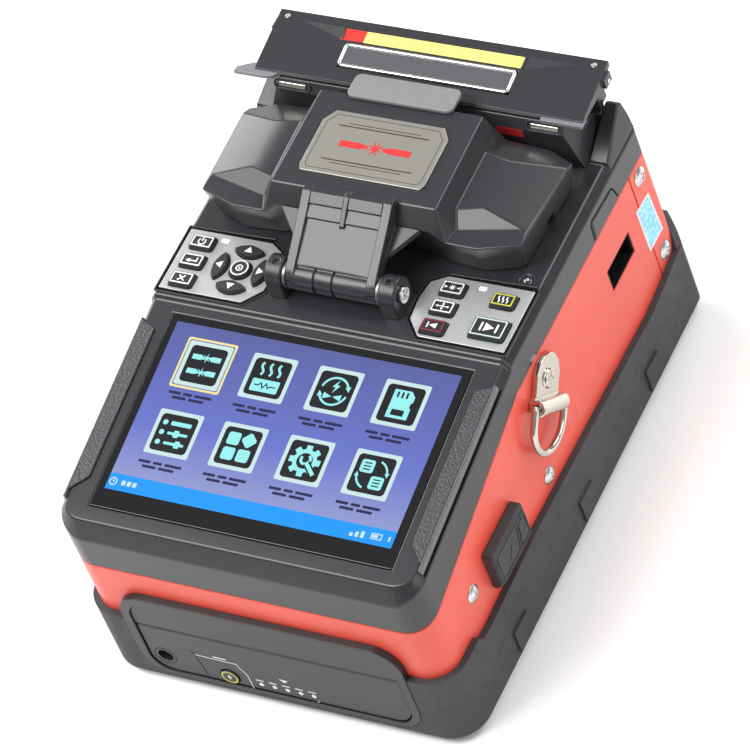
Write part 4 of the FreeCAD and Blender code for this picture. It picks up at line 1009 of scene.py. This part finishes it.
def heater():
    softened("heater_body", BLACK, 0.3, 3)
    lid = softened("heater_lid", BLACK, 0.2, 3)
    # The lid's catch tabs take the lighter grey: painted reflection.
    accent(lid, PAINTED_HIGHLIGHT_GREY, lambda c: c.y < 79.5 and c.z < 113.45)
    softened("heater_clips", CHROME, 0.15)
    softened("heater_tray", SILVER_METAL, 0.2)
    softened("lid_screws", STEEL, 0.15)
    repaint(STEEL, "heater_pins")
    heater_window()
    heater_labels()
    heater_rings()


def heater_window():
    """Smoky pane held by a polished rounded rim that follows the lid's slope."""
    corner_low, corner_high = low("heater_window"), high("heater_window")
    y0, y1 = corner_low.y, corner_high.y
    rise = 1.4
    place = pitched((0, (y0 + y1) / 2, corner_high.z - rise / 2), y1 - y0, rise)
    w, d = corner_high.x - corner_low.x, y1 - y0
    rim = Solid(place)
    section = ((0.0, -2.0), (0.0, -0.45), (0.15, -0.1), (0.6, 0.0), (1.05, -0.1), (1.2, -0.45), (1.2, -2.0))
    rim.loft([[(x, y, z) for x, y in rounded(0, 0, w - 2 * i, d - 2 * i, 1.9 - i * 0.9, 8)]
              for i, z in section], closed=True)
    piece = rim.make("window_rim", CHROME_SOFT, "heater_lid", "clear_window", angle=60)
    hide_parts("heater_window")
    pane = Solid(place)
    profile = ((0.7, -1.5), (0.7, -0.75), (1.6, -0.6), (2.6, -0.62))
    pane.loft([[(x, y, z) for x, y in rounded(0, 0, w - 2 * i, d - 2 * i, max(0.4, 1.5 - i * 0.5), 6)]
               for i, z in profile])
    pane.make("window_pane", SMOKY, "heater_lid", "clear_window", angle=20)


def heater_labels():
    """Plain coloured strips on the lid and a plain red label on the block's front."""
    lid = pitched((0, 93.5, 116.6), 7.5, 1.0)
    strip = Solid(lid)
    strip.prism(rounded(3.0, 1.5, 60.0, 4.5, 0.4), -0.02, 0.09)
    strip.make("lid_strip_yellow", YELLOW_LABEL, "heater_lid", "white_ceramic", 0.03)
    end = Solid(lid)
    end.prism(rounded(-31.4, 1.5, 9.2, 4.5, 0.4), -0.02, 0.09)
    end.make("lid_strip_red", RED_LABEL, "heater_lid", "red_paint", 0.03)
    facets = Solid(lid)
    for side in (1, -1):
        wedge = [(34.3, -0.9), (52.5, 4.2), (35.3, 3.6)]
        base = [(side * x, y, -0.4) for x, y in wedge][::side]
        top = [(side * x, y, z) for (x, y), z in zip(wedge, (0.02, 0.02, 0.95))][::side]
        facets.loft([base, top])
    facets.make("lid_facets", BLACK, "heater_lid", "black_plastic", smooth=False)
    red = Solid(pitched((0, 74.04, 106.2), 1.2, 13.5))
    red.prism(rounded(34.4, 0, 10.4, 3.3, 0.3), -0.02, 0.12)
    red.make("heater_label", RED_LABEL_DARK, "chassis", "red_paint", 0.03)
    # Thin ribs in the lighter grey: painted highlight.
    ribs = Solid(pitched((0, 77.8, 111.56), 17.5, 0.6))
    for side in (1, -1):
        ribs.prism(rounded(side * 37.5, 0, 6.6, 0.6, 0.25), -0.1, 0.3)
    ribs.make("heater_ribs", PAINTED_HIGHLIGHT_GREY, "chassis", "black_plastic", 0.1)


def heater_rings():
    """Raised oval rims round the two catch plates on the block's chamfer."""
    ring = Solid(pitched(middle("heater_clips") * Vector((0, 1, 1)), 2.3, 3.5))
    for side in (1, -1):
        outer = rounded(side * 47.9, 0, 14.6, 4.0, 2.0, 8)
        ring.band(outer, rounded(side * 47.9, 0, 12.8, 2.6, 1.3, 8), -0.3, 0.35)
    ring.make("catch_rims", BLACK, "chassis", "black_plastic", 0.2)


# ---------------------------------------------------------------- sides
def sides():
    port_cover()
    softened("port_block", BLACK_FINE, 0.1)
    groove_yz = [(54.7, 80.9), (55.3, 88.0), (56.2, 88.9), (71.4, 87.7), (72.5, 86.7), (74.2, 81.2)]
    panel_yz = [(55.6, 80.9), (56.3, 88.1), (71.2, 86.9), (72.9, 80.9)]
    for side, place in (("right", RIGHT), ("left", LEFT)):
        flip = 1 if side == "right" else -1
        groove = Solid(place)
        groove.line([(flip * y, z) for y, z in groove_yz], 0.7, -0.1, 0.04)
        groove.make("skirt_insert_" + side, DARK_EDGE, "chassis", "black_plastic", smooth=False)
        panel = Solid(place)
        panel.prism([(flip * y, z) for y, z in panel_yz][::-flip], -0.1, 0.22)
        panel.make("skirt_panel_" + side, BLACK, "chassis", "black_plastic", 0.15)
    sticker()


def port_cover():
    softened("port_cover", RUBBER, 0.5, 3)
    corner_low, corner_high = low("port_cover"), high("port_cover")
    y0, y1 = corner_low.y + 1.2, corner_high.y - 1.2
    z0, z1 = corner_low.z + 4.0, corner_high.z - 1.6
    place = axes(Vector((corner_high.x, 0, 0)), (0, 1, 0), (0, 0, 1), (1, 0, 0))
    face = Solid(place)
    w, d = y1 - y0, z1 - z0
    cy, cz = (y0 + y1) / 2, (z0 + z1) / 2
    face.band(rounded(cy, cz, w, d, 1.0), rounded(cy, cz, w - 1.6, d - 1.6, 0.6), -0.3, 0.35)
    fold = y0 + w * 0.62
    face.line([(fold, z0 + 0.8), (fold + 2.2, z1 - 0.8)], 0.8, -0.3, 0.3)
    face.line([(fold - 6.4, z0 + 3.0), (fold - 3.4, z1 - 4.6)], 0.7, -0.3, 0.22)
    face.make("port_cover_relief", RUBBER, "port_cover", "black_rubber", 0.22, 3)
    raised = Solid(place)
    raised.prism([(fold + 1.2, z0 + 1.6), (y1 - 1.8, z0 + 1.6), (y1 - 1.8, z1 - 1.6), (fold + 3.0, z1 - 1.6)],
                 -0.3, 0.4)
    raised.make("port_cover_pull", RUBBER, "port_cover", "black_rubber", 0.3, 3)


def sticker():
    """Pale blue seal with a white border and a faint lattice, with no lettering."""
    corners = [(80.6, 44.6), (91.4, 44.5), (90.2, 64.5), (80.3, 65.3)]
    inner = offset(corners, -0.9)
    back = Solid(RIGHT)
    back.prism(corners, 0.0, 0.08)
    back.make("seal_border", WHITE_INK, "chassis", "white_ceramic", smooth=False)
    front = Solid(RIGHT)
    front.prism(inner, 0.04, 0.12)
    front.make("seal_face", lattice(), "chassis", "white_ceramic", smooth=False)


# ---------------------------------------------------------------- battery face
def battery_face():
    z = (0.0, INK)
    line = Solid(FRONT)
    bend = arc_points(-19.5, 12.2, 7.3, TAU / 4 - 0.65, 0.15, 8)
    line.line([(-31.0, 19.9), (-14.9, 19.5)] + bend[1:] + [(-12.2, 5.8)], 0.32, *z)
    line.line([(-30.9, 6.8), (-12.2, 5.8), (11.4, 5.9), (13.4, 8.4)], 0.24, *z)
    line.prism([(0.2, 16.4), (3.6, 16.2), (2.0, 14.6)][::-1], *z)
    line.make("battery_lines", WHITE_INK, "battery", "white_ceramic", smooth=False)
    seam = Solid(FRONT)
    seam.line([(-32.0, 22.5), (-30.9, 19.9), (-29.0, 6.8)], 0.3, *z)
    seam.make("battery_seam", DARK_EDGE, "battery", "black_plastic", smooth=False)
    captions = Solid(FRONT)
    for k in range(5):
        captions.prism(rect(-8.2 + 5 * k, 12.6, 3.0, 0.5), *z)
    captions.prism(rect(-21.0, 21.0, 5.0, 0.55), *z)
    captions.make("battery_captions", WHITE_INK, "battery", "white_ceramic", smooth=False)
    softened("battery_button", KEY, 0.25)
    softened("charge_jack", BLACK_FINE, 0.25)
    softened("charge_lights", LAMP, 0.15)
    centre = middle("battery_button")
    face = low("battery_button").y
    place = axes(Vector((centre.x, face, centre.z)), (1, 0, 0), (0, 0, 1), (0, -1, 0))
    ring = Solid(place)
    ring.band(circle(0, 0, 3.15, 36), circle(0, 0, 2.55, 36), *PRINT)
    ring.make("button_ring", YELLOW_INK, "battery_button", "white_ceramic", smooth=False)
    sign = Solid(place)
    bolt(sign, 0, 0, 1.7, PRINT)
    sign.make("button_sign", WHITE_INK, "battery_button", "white_ceramic", smooth=False)


# ---------------------------------------------------------------- splice chamber and inner pieces
def chamber():
    softened("splice_base", DARK_METAL, 0.4)
    softened("v_grooves", CERAMIC, 0.15)
    softened("electrodes", STEEL, 0.08)
    softened("carriage_left", SILVER_METAL, 0.25)
    softened("carriage_right", SILVER_METAL, 0.25)
    softened("sheath_lid_left", DARK_METAL, 0.3)
    softened("sheath_lid_right", DARK_METAL, 0.3)
    for node in ("sheath_lid_left", "sheath_lid_right"):
        centre = middle(node)
        top = high(node).z
        pad = Solid(Matrix.Translation((centre.x, 50.0, top)))
        for k in range(-3, 4):
            pad.prism(rounded(2.4 * k, 0, 1.2, 7.0, 0.5), -0.1, 0.3)
        pad.make(node + "_ribs", KEY, BODY_OF[node], "key_rubber", 0.12)
    repaint(DARK_METAL, "base_plate", "feed_motors", "microscopes")
    repaint(BOARD, "main_board")


# ---------------------------------------------------------------- camera, light and floor
CAMERA_AZIMUTH = math.radians(42.63)
CAMERA_ELEVATION = math.radians(47.46)
CAMERA_ROLL = math.radians(23.07)
CAMERA_DISTANCE = 1763.6
CAMERA_SHIFT = (1.04, 5.12)      # sideways and up, square to the view
AIM = Vector((0, 0, 50))
SENSOR = 36.0
LENS_LENGTH = 253.04


def camera():
    az, el, roll = CAMERA_AZIMUTH, CAMERA_ELEVATION, CAMERA_ROLL
    back = Vector((math.sin(az) * math.cos(el), -math.cos(az) * math.cos(el), math.sin(el)))
    right = Vector((math.cos(az), math.sin(az), 0))
    up = back.cross(right)
    right, up = (right * math.cos(roll) - up * math.sin(roll), right * math.sin(roll) + up * math.cos(roll))
    data = bpy.data.cameras.new("camera")
    data.sensor_width = SENSOR
    data.lens = LENS_LENGTH
    data.clip_end = 20
    eye = bpy.data.objects.new("camera", data)
    place = AIM + back * CAMERA_DISTANCE + right * CAMERA_SHIFT[0] + up * CAMERA_SHIFT[1]
    eye.matrix_world = axes(place * MM, right, up, back)
    bpy.context.collection.objects.link(eye)
    bpy.context.scene.camera = eye


def softbox(name, azimuth, elevation, distance, size, power, tint=(1, 1, 1)):
    """Area light aimed at the object; azimuth 0 is in front, 90 to the right."""
    az, el = math.radians(azimuth), math.radians(elevation)
    way = Vector((math.sin(az) * math.cos(el), -math.cos(az) * math.cos(el), math.sin(el)))
    data = bpy.data.lights.new(name, "AREA")
    data.shape = "RECTANGLE"
    data.size, data.size_y = size
    data.energy = power
    data.color = tint
    lamp = bpy.data.objects.new(name, data)
    lamp.location = AIM * MM + way * distance
    lamp.rotation_euler = way.to_track_quat("Z", "Y").to_euler()
    bpy.context.collection.objects.link(lamp)


HORIZON_LIGHT, SKY_LIGHT = 0.26, 0.47


def studio():
    world = bpy.data.worlds.new("studio")
    world.use_nodes = True
    ground = world.node_tree.nodes["Background"]
    ground.inputs["Color"].default_value = (1.0, 1.0, 1.0, 1)
    way = world.node_tree.nodes.new("ShaderNodeTexCoord").outputs["Generated"]
    split = world.node_tree.nodes.new("ShaderNodeSeparateXYZ")
    rise = world.node_tree.nodes.new("ShaderNodeMapRange")
    limits = {"From Min": 0.0, "From Max": 0.7, "To Min": HORIZON_LIGHT, "To Max": SKY_LIGHT}
    for key, value in limits.items():
        rise.inputs[key].default_value = value
    world.node_tree.links.new(way, split.inputs["Vector"])
    world.node_tree.links.new(split.outputs["Z"], rise.inputs["Value"])
    world.node_tree.links.new(rise.outputs["Result"], ground.inputs["Strength"])
    bpy.context.scene.world = world
    bpy.context.scene.view_settings.view_transform = "Standard"
    softbox("key_left", -48, 56, 1.1, (0.8, 0.55), 12.5)
    softbox("fill_right", 80, 35, 1.2, (0.8, 0.8), 4)
    softbox("rim_back", 165, 40, 1.2, (1.0, 0.4), 6)
    softbox("rim_right", 128, 44, 1.2, (0.4, 0.4), 3)
    softbox("low_left", -112, 20, 1.2, (0.8, 0.5), 8)
    floor = Solid().loft([rounded_floor(z) for z in (-4.0, -0.02)]).make("floor", floor_material(), None)


def rounded_floor(z):
    return [(x, y, z) for x, y in circle(0, 0, 4000, 64)]


def floor_material():
    s = Shader("floor", (0.93, 0.93, 0.93, 1), 0.7)
    s.vary_rough(s.pattern(60, 2), 0.05)
    return s.mat


housing()
display()
key_plates()
keys()
windshield()
heater()
sides()
battery_face()
chamber()
camera()
studio()
